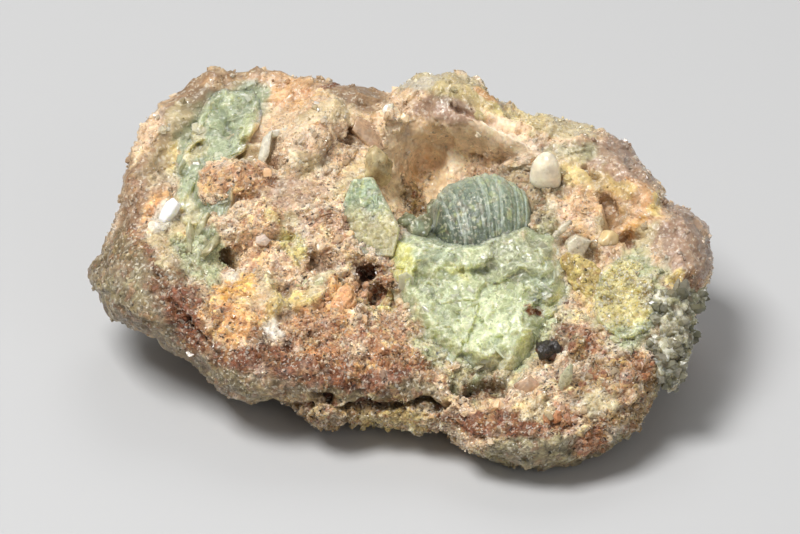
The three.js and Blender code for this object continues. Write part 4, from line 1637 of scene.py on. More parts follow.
@dataclass
class Crust:
    """Crystals grown together over the rock, as a closed shell with a lumpy top.

    centre: middle of the crust on the face.
    reach: distance from there to its edge, at even steps anticlockwise from the right.
    base: the mineral where no patch lies.
    level: how far its top stands above the rock between the lumps.
    block: size of its blocks, and relief their height, in millimetres.
    fine: height of its smaller blocks, as a share of the relief.
    pale: how much paler the blocks' edges are.
    grit: how sandy its surface is, from 0 for glassy to 1.
    soft: how often the blocks' edges are evened out.
    edge_colour: what those edges turn to, as a screen shows it.
    flank: share of the reach from which it slopes down to the rock.
    ragged: how far its outline strays, as a share of the reach.
    """

    name: str
    rock: Rock
    centre: tuple[float, float]
    reach: tuple[float, ...]
    lumps: tuple[Lump, ...]
    base: Mineral
    patches: tuple[Patch, ...]
    level: float
    seed: int
    cells: int = 150
    block: float = 2.4
    relief: float = 0.7
    fine: float = 0.4
    pale: float = 0.3
    grit: float = 0.5
    soft: int = 1
    edge_colour: Colour = (232, 234, 200)
    flank: float = 0.84
    ragged: float = 0.07
    front: Array = field(init=False)
    outward: Array = field(init=False)
    look: Array = field(init=False)
    share: Array = field(init=False)

    def build(self) -> Object:
        """Domes over the rock's level, broken into blocks, with an edge tucked into the rock.

        Where domes meet, their heights are joined softly: the fifth root of the sum of their fifth powers.

        Returns:
            The crust's object.
        """
        grid = DiscGrid(self.cells, 0.2)
        self.share, angle = grid.polar()
        steps = np.linspace(0.0, 2.0 * np.pi, len(self.reach) + 1)
        edge = np.interp(angle % (2.0 * np.pi), steps, [*self.reach, self.reach[0]])
        ring = np.stack([np.cos(angle), np.sin(angle), np.zeros_like(angle)], axis=-1)
        edge = edge * (1.0 + self.ragged * fractal(ring, 0.6, self.seed + 27, 4))
        ab = ring[..., :2] * (self.share * edge)[..., None] + self.centre
        ground = surface_depth(ab.reshape(-1, 2), self.rock.solid, self.rock.frame, Side.FRONT)
        ground = ground.reshape(self.share.shape)
        ground = np.where(np.isnan(ground), np.nanmin(ground), ground)
        plain = np.concatenate([ab, ground[..., None]], axis=-1)
        bent = plain + 0.5 * drift(plain, 2.2, range(self.seed, self.seed + 3), 3)
        large, edges = blocks_and_edges(bent, self.block, self.seed + 5)
        domes = sum(lump.dome(ab + 0.5 * (bent - plain)[..., :2]) ** 5 for lump in self.lumps) ** 0.2
        tuck = smoothstep(self.flank, 1.0, self.share)
        rise = (self.level + domes + self.relief * large) * (1.0 - tuck) - 0.7 * tuck
        self.front = np.concatenate([ab, (ground + rise)[..., None]], axis=-1)
        grid.relax(self.front, self.soft)
        self.outward = grid.normals(self.front)
        mid, rims = blocks_and_edges(bent, self.block * 0.45, self.seed + 9)
        grit = facets(bent, self.block * 0.22, self.seed + 13)
        fine = self.relief * self.fine * (mid + 0.35 * grit)
        self.front += self.outward * (fine * (1.0 - tuck))[..., None]
        tip = [*self.centre, np.min(ground) - 1.0]
        points = self.rock.frame.to_part(np.concatenate([self.front.reshape(-1, 3), [tip]]))
        piece = make_object(self.name, points, grid.capped_faces(), True)
        self.outward = grid.normals(self.front)
        self.look = blend_patches(self.front, ab, self.base, self.patches, self.seed + 17)
        fade = smoothstep(0.78, 0.98, self.share + 0.14 * fractal(self.front, 2.4, self.seed + 23, 3))
        self.look = mix(self.look, face_look(self.front, ab), fade)
        # Painted shade: raised blocks lighter, low ones darker, under a random mottle
        value = np.clip(0.93 + 0.06 * large + 0.09 * mid + 0.06 * grit, 0.5, 1.3)
        value = value * (1.0 + 0.12 * fractal(self.front, 1.8, self.seed + 21, 3))
        tint = self.look[..., COLOUR] * value[..., None]
        tint = mix(tint, linear(self.edge_colour), self.pale * (0.9 * edges**2 + rims**2))
        set_tint(piece, np.concatenate([tint.reshape(-1, 3), tint[:1, 0]]), self.grit)
        return piece

    def ground(self) -> Ground:
        """The crust's top as a ground for small crystals, none of them at its edge."""
        inner = smoothstep(0.97, 0.82, self.share)
        return Ground.from_sheet(self.front, self.outward, self.look, inner)


# Finishes

# Colour of the coarse rust stain, and the white painted onto shiny cells as a painted glint
RUST_STAIN = (162, 92, 60)
PAINTED_GLINT_WHITE = (248, 240, 220)


def node_group(name: str, inputs: dict[str, str], outputs: dict[str, str]) -> Tree:
    """A new shader node group with named sockets and its input and output nodes.

    Args:
        name: the group's name.
        inputs: socket name to kind, such as Float or Color.
        outputs: the same for its outputs.

    Returns:
        The group's tree.
    """
    tree = bpy.data.node_groups.new(name, "ShaderNodeTree")
    for socket, kind in inputs.items():
        tree.interface.new_socket(name=socket, in_out="INPUT", socket_type=f"NodeSocket{kind}")
    for socket, kind in outputs.items():
        tree.interface.new_socket(name=socket, in_out="OUTPUT", socket_type=f"NodeSocket{kind}")
    tree.nodes.new("NodeGroupInput")
    tree.nodes.new("NodeGroupOutput")
    return tree


def math_node(tree: Tree, operation: str, *values: Socket | float) -> Socket:
    """A Math node whose inputs are sockets or numbers.

    Args:
        tree: the tree that it goes into.
        operation: the node's operation.
        values: a socket or a number for each input.

    Returns:
        The node's output.
    """
    node = tree.nodes.new("ShaderNodeMath")
    node.operation = operation
    for socket, value in zip(node.inputs, values):
        if isinstance(value, Socket):
            tree.links.new(value, socket)
        else:
            socket.default_value = value
    return node.outputs[0]


def grain_group() -> Tree:
    """Grains finer than the mesh: cells that are each lighter or darker, some white and some dark.

    Cells of two sizes, whose places a noise has bent, each give a random value. The colour's factor is
    1 + Amount times the sum of those values less their mean, plus pale veins along the borders of
    larger cells. Few cells are darkened as pin holes, a painted shade; few shiny ones are mixed with white
    as glints, a painted highlight; and a few coarse ones are mixed with rust. The height falls from each
    cell's middle.

    Returns:
        The group's tree.
    """
    inputs = {"Color": "Color"} | dict.fromkeys(("Scale", "Amount", "Vein", "Cells", "White"), "Float")
    tree = node_group("grain", inputs, {"Color": "Color", "Height": "Float", "Glint": "Float"})
    given = tree.nodes["Group Input"].outputs
    place = tree.nodes.new("ShaderNodeTexCoord").outputs["Object"]
    noise = tree.nodes.new("ShaderNodeTexNoise")
    noise.inputs["Detail"].default_value = 4.0
    tree.links.new(place, noise.inputs["Vector"])
    tree.links.new(math_node(tree, "MULTIPLY", given["Scale"], 0.4), noise.inputs["Scale"])
    bend = tree.nodes.new("ShaderNodeVectorMath")
    bend.operation = "MULTIPLY_ADD"
    tree.links.new(noise.outputs["Color"], bend.inputs[0])
    bend.inputs[1].default_value = (0.0008, 0.0008, 0.0008)
    tree.links.new(place, bend.inputs[2])

    def cells(factor: float, scale: Socket, feature: str) -> bpy.types.Node:
        """A cell texture over the bent places.

        Args:
            factor: what the scale is multiplied by.
            scale: how many cells there are to a metre.
            feature: what the texture gives.

        Returns:
            The texture's node.
        """
        node = tree.nodes.new("ShaderNodeTexVoronoi")
        node.feature = feature
        tree.links.new(bend.outputs["Vector"], node.inputs["Vector"])
        tree.links.new(math_node(tree, "MULTIPLY", scale, factor), node.inputs["Scale"])
        return node

    fine = cells(1.0, given["Scale"], "F1")
    coarse = cells(0.43, given["Scale"], "F1")
    border = cells(1.0, given["Cells"], "DISTANCE_TO_EDGE")
    picks = tree.nodes.new("ShaderNodeSeparateColor")
    tree.links.new(fine.outputs["Color"], picks.inputs[0])
    broad = tree.nodes.new("ShaderNodeSeparateColor")
    tree.links.new(coarse.outputs["Color"], broad.inputs[0])
    value = math_node(tree, "MULTIPLY_ADD", broad.outputs[0], 0.7, picks.outputs[0])
    value = math_node(tree, "ADD", value, noise.outputs[0])
    # Painted shade: a few cells are darkened as pin holes
    pin_hole_shade = math_node(tree, "MULTIPLY", math_node(tree, "LESS_THAN", picks.outputs[2], 0.08), -1.1)
    value = math_node(tree, "ADD", value, pin_hole_shade)
    factor = math_node(tree, "MULTIPLY_ADD", math_node(tree, "SUBTRACT", value, 1.26), given["Amount"], 1.0)
    thin = math_node(tree, "SUBTRACT", 1.0, math_node(tree, "MULTIPLY", border.outputs["Distance"], 9.0))
    vein = math_node(tree, "MULTIPLY", math_node(tree, "MAXIMUM", thin, 0.0), given["Vein"])
    scaled = tree.nodes.new("ShaderNodeVectorMath")
    scaled.operation = "SCALE"
    tree.links.new(given["Color"], scaled.inputs[0])
    light = math_node(tree, "MAXIMUM", math_node(tree, "ADD", factor, vein), 0.15)
    tree.links.new(light, scaled.inputs["Scale"])
    glint = math_node(tree, "GREATER_THAN", picks.outputs[1], 0.86)
    few = math_node(tree, "GREATER_THAN", broad.outputs[1], 0.84)
    stained = math_node(tree, "MULTIPLY", few, given["Amount"])

    def mixed(share: Socket, first: Socket, colour: Colour) -> Socket:
        """A share of a plain colour mixed into another.

        Args:
            share: how much of the plain colour, from 0 to 1.
            first: the other colour.
            colour: the plain colour, as a screen shows it.

        Returns:
            The mixed colour.
        """
        node = tree.nodes.new("ShaderNodeMix")
        node.data_type = "RGBA"
        tree.links.new(share, node.inputs["Factor"])
        tree.links.new(first, node.inputs[6])
        node.inputs[7].default_value = (*linear(colour), 1.0)
        return node.outputs[2]

    rusty = mixed(math_node(tree, "MULTIPLY", stained, 0.5), scaled.outputs["Vector"], RUST_STAIN)
    # Painted glint: the shiny cells are mixed with white
    white = mixed(math_node(tree, "MULTIPLY", glint, given["White"]), rusty, PAINTED_GLINT_WHITE)
    low = math_node(tree, "MULTIPLY_ADD", coarse.outputs["Distance"], 1.6, fine.outputs["Distance"])
    height = math_node(tree, "SUBTRACT", math_node(tree, "ADD", noise.outputs[0], vein), low)
    done = tree.nodes["Group Output"].inputs
    tree.links.new(white, done["Color"])
    tree.links.new(height, done["Height"])
    tree.links.new(glint, done["Glint"])
    return tree


@dataclass(frozen=True)
class Finish:
    """A mineral finish that takes its colour from the mesh's own tint.

    roughness: roughness of the few shiny grains and of the rest.
    grain: how many grains there are to a metre.
    mottle: how strongly the grain lightens and darkens the colour.
    bump: height of the grain in millimetres.
    glow: weight of light that spreads below the surface, and how far it spreads in millimetres.
    vein: strength of pale veins, and cells to a metre between them.
    white: how far the shiny grains are painted white, as a painted glint.
    clear: transmission.
    """

    name: str
    roughness: tuple[float, float]
    grain: float
    mottle: float
    bump: float
    glow: tuple[float, float] = (0.0, 0.0)
    vein: tuple[float, float] = (0.0, 1000.0)
    white: float = 0.0
    clear: float = 0.0
    ior: float = 1.55

    def material(self, group: Tree) -> Material:
        """The finish as a material.

        Args:
            group: the shared grain group.

        Returns:
            The material.
        """
        material = bpy.data.materials.new(self.name)
        material.use_nodes = True
        tree = material.node_tree
        shader = tree.nodes["Principled BSDF"]
        tint = tree.nodes.new("ShaderNodeAttribute")
        tint.attribute_name = TINT
        grain = tree.nodes.new("ShaderNodeGroup")
        grain.node_tree = group
        values = {"Scale": self.grain, "Vein": self.vein[0], "Cells": self.vein[1], "White": self.white}
        for socket, value in values.items():
            grain.inputs[socket].default_value = value
        grit = tint.outputs["Alpha"]
        tree.links.new(math_node(tree, "MULTIPLY", grit, self.mottle), grain.inputs["Amount"])
        tree.links.new(tint.outputs["Color"], grain.inputs["Color"])
        tree.links.new(grain.outputs["Color"], shader.inputs["Base Color"])
        low, high = self.roughness
        dull = math_node(tree, "MULTIPLY_ADD", grit, 0.5 * high, 0.5 * high)
        shine = math_node(tree, "MULTIPLY_ADD", grain.outputs["Glint"], -0.8, 1.0)
        rough = math_node(tree, "MAXIMUM", math_node(tree, "MULTIPLY", dull, shine), low)
        tree.links.new(rough, shader.inputs["Roughness"])
        bump = tree.nodes.new("ShaderNodeBump")
        tree.links.new(math_node(tree, "MULTIPLY_ADD", grit, 0.8, 0.1), bump.inputs["Strength"])
        bump.inputs["Distance"].default_value = self.bump * MM
        tree.links.new(grain.outputs["Height"], bump.inputs["Height"])
        tree.links.new(bump.outputs["Normal"], shader.inputs["Normal"])
        weight, spread = self.glow
        shader.inputs["Subsurface Weight"].default_value = weight
        shader.inputs["Subsurface Radius"].default_value = (1.0, 0.9, 0.6)
        shader.inputs["Subsurface Scale"].default_value = spread * MM
        shader.inputs["Transmission Weight"].default_value = self.clear
        shader.inputs["IOR"].default_value = self.ior
        return material


ROCK_FINISH = Finish("weathered_rock", (0.12, 0.6), 3600.0, 0.9, 0.22, (0.55, 1.0), white=0.35)
CANDY_FINISH = Finish("rock_candy", (0.1, 0.4), 2200.0, 0.4, 0.05, (0.45, 0.9), white=0.05)
GLASSY_FINISH = Finish("glassy_sugar", (0.06, 0.22), 1500.0, 0.3, 0.02, (0.25, 0.8), clear=0.35)
FAN_FINISH = Finish("fan_prehnite", (0.12, 0.4), 3600.0, 0.45, 0.1, (1.0, 2.2), (0.2, 1500.0), 0.3)
MASS_FINISH = Finish("pale_prehnite", (0.14, 0.36), 3000.0, 0.5, 0.05, (1.0, 3.0), (0.3, 1300.0), 0.3)
GREEN_SUGAR_FINISH = Finish("prehnite_sugar", (0.08, 0.3), 2000.0, 0.3, 0.03, (0.6, 1.2), clear=0.2)
WHITE_FINISH = Finish("white_crystal", (0.06, 0.2), 2000.0, 0.2, 0.04, (0.6, 1.2), white=0.3, clear=0.05)
MILKY_FINISH = Finish("milky_crystal", (0.07, 0.3), 2400.0, 0.5, 0.06, (0.3, 0.6), (0.2, 900.0), 0.15, 0.4)
DRUSE_FINISH = Finish("clear_crystal", (0.05, 0.2), 1300.0, 0.3, 0.03, (0.2, 0.8), clear=0.5)
BLACK_FINISH = Finish("black_mineral", (0.1, 0.45), 2400.0, 0.5, 0.15)
FINISHES = (
    ROCK_FINISH, CANDY_FINISH, GLASSY_FINISH, FAN_FINISH, MASS_FINISH,
    GREEN_SUGAR_FINISH, WHITE_FINISH, MILKY_FINISH, DRUSE_FINISH, BLACK_FINISH,
)


# Studio


@dataclass(frozen=True)
class Studio:
    """Pale floor, soft lights and the camera.

    width: width of the picture at the specimen, in millimetres.
    distance: how far the camera stands from the specimen, in millimetres.
    aim: where it looks on the display face.
    reach: half the floor's side, and drop its depth below the specimen, in metres.
    paper: linear grey of the floor.
    sky: strength of the even light from all round.
    """

    frame: DisplayFrame
    width: float = 96.0
    distance: float = 900.0
    aim: tuple[float, float] = (-0.36, -0.24)
    reach: float = 3.0
    drop: float = 0.0001
    paper: float = 0.5
    sky: float = 0.26

    def floor(self) -> None:
        """A wide pale sheet just below the specimen's underside."""
        signs = np.array([[-1, -1], [1, -1], [1, 1], [-1, 1]])
        corners = np.column_stack([self.reach * signs, np.full(len(signs), -self.drop)])
        floor = make_object("floor", corners, [np.array([[0, 1, 2, 3]])], False)
        paper = bpy.data.materials.new("paper")
        paper.use_nodes = True
        shader = paper.node_tree.nodes["Principled BSDF"]
        shader.inputs["Base Color"].default_value = (self.paper, self.paper, self.paper, 1.0)
        shader.inputs["Roughness"].default_value = 0.7
        floor.data.materials.append(paper)

    def light(self, name: str, at: tuple[float, float, float], size: float, power: float) -> None:
        """A square softbox that faces the specimen, placed in metres.

        Args:
            name: the light's name.
            at: where it hangs.
            size: its side.
            power: its power in watts.
        """
        lamp = bpy.data.lights.new(name, "AREA")
        lamp.size = size
        lamp.energy = power
        holder = bpy.data.objects.new(name, lamp)
        away = unit(np.array(at))
        side = unit(np.cross([0.0, 0.0, 1.0], away))
        place = np.eye(4)
        place[:3, :3] = np.stack([side, np.cross(away, side), away], axis=1)
        place[:3, 3] = at
        holder.matrix_world = Matrix(place.tolist())
        bpy.context.scene.collection.objects.link(holder)

    def lights(self) -> None:
        """A large softbox above and to the left, a fill in front, one behind, and an even sky."""
        self.light("key", (-0.3, -0.18, 0.78), 0.36, 8.2)
        self.light("fill", (0.45, -0.7, 0.4), 0.6, 1.2)
        self.light("top_back", (0.1, 0.5, 0.6), 0.4, 1.0)
        world = bpy.data.worlds.new("sky")
        world.use_nodes = True
        sky = world.node_tree.nodes["Background"].inputs
        sky["Color"].default_value = (1.0, 1.0, 1.0, 1.0)
        sky["Strength"].default_value = self.sky
        bpy.context.scene.world = world

    def camera(self) -> None:
        """A long lens that looks straight down the display direction."""
        lens = bpy.data.cameras.new("camera")
        lens.sensor_width = 36.0
        lens.lens = lens.sensor_width * self.distance / self.width
        lens.clip_end = 10.0
        holder = bpy.data.objects.new("camera", lens)
        holder.matrix_world = self.frame.matrix((*self.aim, self.distance))
        bpy.context.scene.collection.objects.link(holder)
        bpy.context.scene.camera = holder

    def build(self) -> None:
        """Sets up the whole studio."""
        self.floor()
        self.lights()
        self.camera()
        bpy.context.scene.view_settings.view_transform = "Standard"


# The specimen


@dataclass
class Druse:
    """Glassy crystals along the lower right edge, on a rounded copy of their solid.

    voxel: size of the copy's faces in millimetres.
    colours: those of the greyest and the palest part, as a screen shows them.
    """

    rock: Rock
    solid: Object
    voxel: float = 0.3
    colours: tuple[Colour, Colour] = ((128, 126, 102), (182, 176, 150))
    seed: int = 601
    points: Array = field(init=False)
    outward: Array = field(init=False)
    tint: Array = field(init=False)

    def build(self) -> Object:
        """Remeshes and smooths the solid, and breaks its surface into small blocks.

        Returns:
            The druse's object, without its columns.
        """
        copy = bpy.data.objects.new("druse_copy", self.solid.data)
        bpy.context.scene.collection.objects.link(copy)
        voxels = copy.modifiers.new("voxels", "REMESH")
        voxels.mode = "VOXEL"
        voxels.voxel_size = self.voxel * MM
        even = copy.modifiers.new("even", "SMOOTH")
        even.iterations = 6
        mesh = copy.evaluated_get(bpy.context.evaluated_depsgraph_get()).data
        frame = self.rock.frame
        points = frame.to_display(read_rows(mesh.vertices, "co", 3))
        self.outward = read_rows(mesh.vertices, "normal", 3) @ frame.axes.T
        faces = read_rows(mesh.loops, "vertex_index", 1, np.int32)
        bpy.data.objects.remove(copy)
        rough = 0.5 * facets(points, 1.5, self.seed) + 0.2 * facets(points, 0.6, self.seed + 3)
        self.points = points + self.outward * rough[:, None]
        piece = make_object("druse_base", frame.to_part(self.points), [faces.reshape(-1, 4)], True)
        low, high = (linear(c) for c in self.colours)
        # Partly painted light: paler where the blocks stand out, over a random mix of grey and pale
        share = smoothstep(-0.4, 0.6, fractal(points, 1.8, self.seed + 7, 3) + 0.5 * rough)
        self.tint = mix(low, high, share)
        set_tint(piece, self.tint)
        return piece

    def ground(self) -> Ground:
        """The rounded copy as a ground for small crystals."""
        even = np.ones(len(self.points))
        return Ground(self.points, self.outward, even, self.tint, even, even)


# Distances from each crust's middle to its edge
MASS_REACH = (11.2, 11.0, 11.0, 11.2, 13.2, 14.0, 9.8, 9.6, 9.0, 10.8, 11.2, 9.0)
HOLLOW_REACH = (2.6, 5.4, 9.6, 8.4, 5.0, 4.2, 4.2, 5.0, 9.0, 10.6, 5.0, 2.8)
CRUST_REACH = (3.6, 4.4, 4.8, 5.0, 4.4, 4.0, 4.0, 4.4, 5.4, 5.8, 5.6, 4.2)
MASS_LUMPS = (
    Lump((0.6, 3.4), (3.2, 2.6), 0.9),
    Lump((4.2, 1.6), (4, 3.6), 1.8, -20),
    Lump((8.2, 2.4), (3.8, 3.2), 2.9, 10),
    Lump((13.2, 1.2), (5, 4), 3, -8),
    Lump((3.8, -5.2), (3, 3.6), 1.6, 10),
    Lump((11.6, -7.2), (4.6, 5.4), 2.3, 12),
    Lump((17.4, -2.7), (2.8, 3.6), 1.7, 20),
    Lump((6.6, -8), (2.8, 2.6), 1.3),
    Lump((7.8, -3.2), (3.4, 3), 1.7),
    Lump((12.6, -3.2), (4, 3), 1.6),
    Lump((11.2, -12.2), (2.6, 1.8), 1.2),
    Lump((1.6, 5.2), (1.6, 1.2), 1),
    Lump((9.6, -9.6), (2, 2.2), 2.2, 20),
    Lump((13.8, -6), (1.8, 2.4), 2.5, -30),
    Lump((9.8, -5.6), (1.8, 1.6), 2.2),
)
MASS_PATCHES = (
    Patch(M.GREEN, (13, 1.2), (5, 3.6), -8),
    Patch(M.GREEN, (4.4, 3), (3.6, 2.4), -10),
    Patch(M.GREY_GREEN, (13, 0.8), (4.6, 2.8), -8, 0.3),
    Patch(M.LIME, (-0.4, 0), (2.2, 2.2), -30, 0.9),
    Patch(M.YELLOW, (-0.4, -0.2), (1, 0.9), 0, 0.4),
    Patch(M.GREEN, (17.4, -2.4), (2, 2.6), 0, 0.7),
    Patch(M.GREEN, (4, -5), (2.6, 3), 0, 0.5),
    Patch(M.MINT, (11, -7.4), (4, 4.6), 10),
    Patch(M.LIME, (7, -0.8), (1.6, 0.8), -30, 0.5),
    Patch(M.LIME, (14.6, -9.6), (1.2, 1.6), -20, 0.5),
    Patch(M.LIME, (18.6, -4.6), (1.6, 2), 0, 0.5),
    Patch(M.CREAM, (11.6, -12.6), (2.8, 1.4), 0, 0.5),
    Patch(M.RUST, (15.8, -5.6), (1.6, 0.6), -45),
)
HOLLOW_LUMPS = (
    Lump((-17, 20.4), (2.4, 1.8), 1.8, 30),
    Lump((-20.2, 18.8), (2.6, 2), 2, 40),
    Lump((-19, 16.6), (2.4, 1.6), 1.8, 20),
    Lump((-23.4, 16.4), (2.4, 2.2), 1.9),
    Lump((-22.6, 13.4), (2, 1.8), 1.5),
    Lump((-25.8, 12.4), (2, 2.4), 1.7),
    Lump((-25.4, 8.4), (1.8, 2.4), 1.6),
    Lump((-25, 4.4), (2, 2.2), 1.5),
)
HOLLOW_PATCHES = (
    Patch(M.CELADON, (-18, 17.2), (2.2, 1.6), 20),
    Patch(M.CREAM, (-25.4, 14.2), (1.6, 2), -20, 0.7),
    Patch(M.CREAM, (-25, 4.6), (2, 3.2), 8, 0.6),
)
CRUST_LUMPS = (
    Lump((24.6, -1), (3, 2.4), 1),
    Lump((27, -3.4), (3.2, 2.8), 1.2),
    Lump((24.2, -6.6), (3, 2.6), 1),
    Lump((28.4, -6.4), (2.6, 2.8), 1),
)
CRUST_PATCHES = (
    Patch(M.YELLOW, (25.4, -3), (4.6, 4.8), 20, 0.75),
    Patch(M.CREAM, (28.6, -2.4), (1.6, 2.2), 0, 0.7),
    Patch(M.PEACH, (23.4, -7.4), (1.6, 1.6), 0, 0.7),
)
KNOB_STONES = (Placed((-7, -4.6), (1.5, 2.4, 1.4), (226, 172, 122), 0.4, turn=-8),)
FAN_KNOBS = (
    Placed((0.5, 4.9), (1.5, 1.2, 1.3), (120, 125, 100), 1.2),
    Placed((1.9, 4.2), (1.7, 1.5, 1.5), (126, 132, 106), 1.5, turn=30),
    Placed((3.1, 5), (1.6, 1.4, 1.6), (134, 142, 118), 2, turn=70),
    Placed((3.9, 6.3), (1.2, 1.5, 1.5), (130, 138, 116), 2.2, turn=10),
)
WEDGE = (Placed((21.2, -1.4), (1.8, 3.7, 1.2), (200, 180, 114), 0, (-14, 10), 34),)
PALE_CRYSTAL = (Placed((17.2, 11.6), (2, 1.8, 3.2), (242, 229, 204), 1.2, (-8, 62)),)
VUG_WEDGE = (Placed((-2.8, 11.6), (1.9, 1.3, 2.7), (226, 208, 160), 1, (12, 55), 15),)
FRONT_BLADE = (Placed((19.2, -13.6), (1, 0.55, 2.5), (226, 224, 190), 0.9, (16, 52), 30),)
WHITE_CRYSTAL = (Placed((-28, 6.4), (0.75, 1.9, 0.7), (255, 254, 250), 1.4, (-12, 20), -30),)
CLEAR_CRYSTAL = (Placed((24.4, 3), (1.4, 1.2, 1.5), (212, 186, 140), -0.5, (12, 26), 10),)
BLACK_GRAIN = (Placed((17.4, -10.2), (1.5, 1.5, 1.4), (52, 46, 42), 0.3),)
PALE_ROD = ((20.1, 5.3, 1.4), (17.9, 3.3, 1.4))
STREAK_ROD = ((2.4, 3.8, 3.4), (4.6, 5.4, 3.8))
GREY_BLOCKS = (
    Placed((-16.6, 2.9), (0.8, 0.7, 0.7), (230, 208, 190), 0.1, (-10, 8), 10),
    Placed((14.6, -14.4), (1.2, 1.2, 0.8), (216, 186, 158), 0.3, (8, -10), 20),
    Placed((20.8, 2.3), (1.5, 1.2, 0.8), (236, 226, 200), 0.3, (10, -10), 20),
    Placed((-4, 15.6), (2.6, 1.5, 0.8), (212, 178, 144), 0.2, (24, 10), -34),
    Placed((-22.8, 2.4), (0.5, 1.8, 0.9), (196, 190, 150), 0.4, (34, 10), -42),
    Placed((-24, 4.6), (0.5, 1.7, 0.9), (206, 202, 166), 0.4, (-30, 8), -24),
    Placed((-25.4, 3.2), (0.4, 2, 0.8), (212, 208, 174), 0.4, (-16, 8), 6),
    Placed((-16.5, 13.8), (0.5, 2.1, 0.9), (232, 226, 206), 1, (-6, 4), -16),
    Placed((-14.4, 15.9), (1.9, 0.5, 0.9), (234, 228, 208), 1.2, (4, 6), 10),
    Placed((-11.6, 15), (0.4, 1.5, 0.7), (214, 200, 172), 1.2, (4, 6), -38),
    Placed((-10.4, -2), (2.3, 0.6, 0.4), (206, 202, 156), 0.5, (-4, 20), 8),
    Placed((-10.2, 19), (0.8, 0.5, 0.5), (248, 244, 232), 1.6, (0, 10), -30),
    Placed((-1.8, 18.8), (0.8, 0.5, 0.3), (250, 246, 224), 0.4, (0, 10), 40),
)


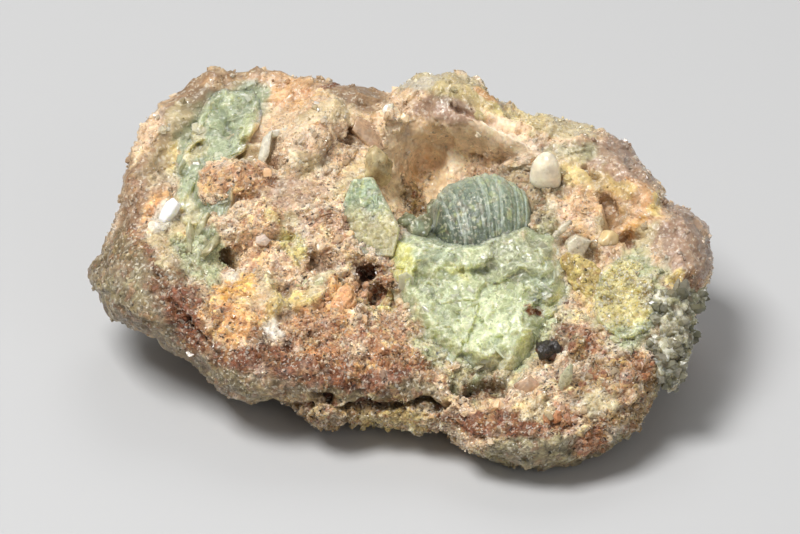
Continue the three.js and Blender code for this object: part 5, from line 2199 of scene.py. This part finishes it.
@dataclass
class Specimen:
    """The whole specimen: the rock, and what lies and grows on it.

    nodes: the part's solids by name.
    frame: the display frame.
    """

    nodes: dict[str, Object]
    frame: DisplayFrame
    rock: Rock = field(init=False)
    looks: dict[Finish, Material] = field(init=False)

    def dress(self, piece: Object, finish: Finish, node: str | None = None) -> None:
        """Gives a piece its material and body, and hides the solid that it stands for.

        Args:
            piece: the piece.
            finish: its finish.
            node: name of the solid that it replaces, if it does.
        """
        piece.data.materials.clear()
        piece.data.materials.append(self.looks[finish])
        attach(piece, "root")
        if node:
            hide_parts(node)
        LOG.info("%s: %d faces", piece.name, len(piece.data.polygons))

    def build(self) -> None:
        """Makes the materials, the rock, and then all that stands on it."""
        group = grain_group()
        self.looks = {finish: finish.material(group) for finish in FINISHES}
        self.rock = Rock(self.frame, self.nodes["matrix"])
        self.dress(self.rock.build(), ROCK_FINISH, "matrix")
        self.strew_rock()
        self.grow_prehnite()
        self.add_druse()
        self.add_single_crystals()

    def strew_rock(self) -> None:
        """Adds the rock's knob and ochre wedge, and the crystals and grains strewn over it."""
        rock = self.rock
        frame = self.frame
        knobs = Stones("knob_stones", rock, 331, KNOB_STONES, rough=0.2, rounds=5, planes=24, grit=0.4)
        wedge = Stones("ochre_wedge", rock, 337, WEDGE, rough=0.3, rounds=5, planes=16, grit=0.55)
        for stones in (knobs, wedge):
            self.dress(stones.build(), ROCK_FINISH)
        face = rock.ground(Side.FRONT)
        rear = rock.ground(Side.BACK)
        sugars = (
            Sugar(
                "rock_candy", frame, face, CANDY, 1300, (0.2, 0.8), 301, (1.1, 1.0, 0.8),
                lean=0.5, sink=0.5, pale=0.2, vary=0.3,
            ),
            Sugar("fine_sugar", frame, face, GRAIN, 30000, (0.05, 0.19), 303, pale=0.55, vary=0.55),
            Sugar("back_sugar", frame, rear, CHUNK, 1500, (0.2, 0.7), 311, sink=0.2),
        )
        for sugar in sugars:
            self.dress(sugar.build(), CANDY_FINISH)
        glassy = Sugar(
            "glassy_sugar", frame, face, CHUNK, 1100, (0.15, 0.55), 307, sink=0.2, pale=0.8, glassy=True
        )
        self.dress(glassy.build(), GLASSY_FINISH)

    def grow_prehnite(self) -> None:
        """Adds the fan, its plate and knobs, the three crusts, and the small crystals on those."""
        rock = self.rock
        frame = self.frame
        self.dress(Fan(rock).build(), FAN_FINISH, "prehnite_cluster")
        self.dress(Plate(rock).build(), FAN_FINISH, "prehnite_cluster")
        tips = Stones("fan_knobs", rock, 647, FAN_KNOBS, rough=0.16, rounds=4, planes=16, grit=0.3)
        self.dress(tips.build(), FAN_FINISH)
        mass = Crust(
            "prehnite_mass", rock, (9.4, -3.6), MASS_REACH, MASS_LUMPS, M.CELADON, MASS_PATCHES,
            level=1.6, seed=401, cells=180, block=2.3, relief=0.75, fine=0.2, pale=0.34, grit=0.25, soft=2,
            edge_colour=(232, 235, 198), flank=0.66, ragged=0.12,
        )
        self.dress(mass.build(), MASS_FINISH, "prehnite_cluster")
        hollow = Crust(
            "hollow_prehnite", rock, (-22.6, 13.0), HOLLOW_REACH, HOLLOW_LUMPS, M.GREEN, HOLLOW_PATCHES,
            level=0.2, seed=431, cells=120, block=2.6, relief=0.9, fine=0.1, pale=0.16, grit=0.12, soft=4,
        )
        self.dress(hollow.build(), MASS_FINISH, "prehnite_in_hollow")
        crust = Crust(
            "yellow_green_crust", rock, (26.4, -3.6), CRUST_REACH, CRUST_LUMPS, M.CELADON, CRUST_PATCHES,
            level=0.2, seed=461, cells=80, block=1.4, relief=0.45, fine=0.3, pale=0.3, grit=0.4, soft=2,
            edge_colour=(236, 222, 150),
        )
        self.dress(crust.build(), MASS_FINISH, "prehnite_crust")
        on_mass = mass.ground()
        on_hollow = hollow.ground()
        sugars = (
            Sugar("mass_sugar", frame, on_mass, GRAIN, 2400, (0.06, 0.18), 407, (1.4, 0.8, 0.6), pale=0.8),
            Sugar(
                "mass_plates", frame, on_mass, TABLET, 90, (0.4, 1.1), 409, (1.3, 0.8, 0.35),
                lean=0.7, sink=0.45, pale=0.6,
            ),
            Sugar("hollow_sugar", frame, on_hollow, GRAIN, 300, (0.08, 0.25), 437),
            Sugar("hollow_plates", frame, on_hollow, TABLET, 24, (0.5, 1.3), 439, (1.2, 0.8, 0.4), sink=0.4),
        )
        for sugar in sugars:
            self.dress(sugar.build(), GREEN_SUGAR_FINISH)
        grains = Sugar("crust_sugar", frame, crust.ground(), CHUNK, 600, (0.1, 0.35), 467, pale=0.7)
        self.dress(grains.build(), GREEN_SUGAR_FINISH)

    def add_druse(self) -> None:
        """Adds the druse along the lower right edge and the columns that stand on it."""
        druse = Druse(self.rock, self.nodes["edge_druse"])
        self.dress(druse.build(), MASS_FINISH, "edge_druse")
        columns = Sugar(
            "druse_columns", self.frame, druse.ground(), PRISM, 130, (0.35, 0.85), 607, (1.0, 0.8, 1.4),
            lean=0.3, pale=0.3,
        )
        self.dress(columns.build(), DRUSE_FINISH)

    def add_single_crystals(self) -> None:
        """Adds the crystals that stand alone, the black grain, the small blocks and the two rods."""
        rock = self.rock
        pale = Gems("pale_form", rock, PALE_CRYSTAL, 611, sides=8, tip=0.7, soft=0.24, bands=0.14)
        self.dress(pale.build(), WHITE_FINISH, "pale_crystal")
        wedge = Stones("vug_form", rock, 613, VUG_WEDGE, rough=0.5, rounds=4, planes=9, grit=0.5)
        self.dress(wedge.build(), MILKY_FINISH, "vug_crystal")
        blade = Gems("blade_form", rock, FRONT_BLADE, 617)
        self.dress(blade.build(), MILKY_FINISH, "front_blade")
        white = Gems("white_form", rock, WHITE_CRYSTAL, 619)
        self.dress(white.build(), WHITE_FINISH, "white_crystal")
        clear = Gems("clear_form", rock, CLEAR_CRYSTAL, 623)
        self.dress(clear.build(), WHITE_FINISH, "clear_crystal")
        black = Stones("black_form", rock, 631, BLACK_GRAIN, rough=0.8, rounds=4)
        self.dress(black.build(), BLACK_FINISH, "black_grain")
        loose = (
            Gems("grey_blocks", rock, GREY_BLOCKS, 641, sides=5, tip=0.5),
            Tube("pale_rod", rock, PALE_ROD, 0.35, (232, 222, 196), 661),
            Tube("streak_rod", rock, STREAK_ROD, 0.35, (226, 232, 226), 673),
        )
        for crystals in loose:
            self.dress(crystals.build(), MILKY_FINISH)


def main() -> None:
    """Builds the specimen piece by piece, then the studio."""
    logging.basicConfig(level=logging.INFO)
    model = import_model()
    frame = DisplayFrame()
    Specimen(model["nodes"], frame).build()
    Studio(frame).build()


if __name__ == "__main__":
    main()
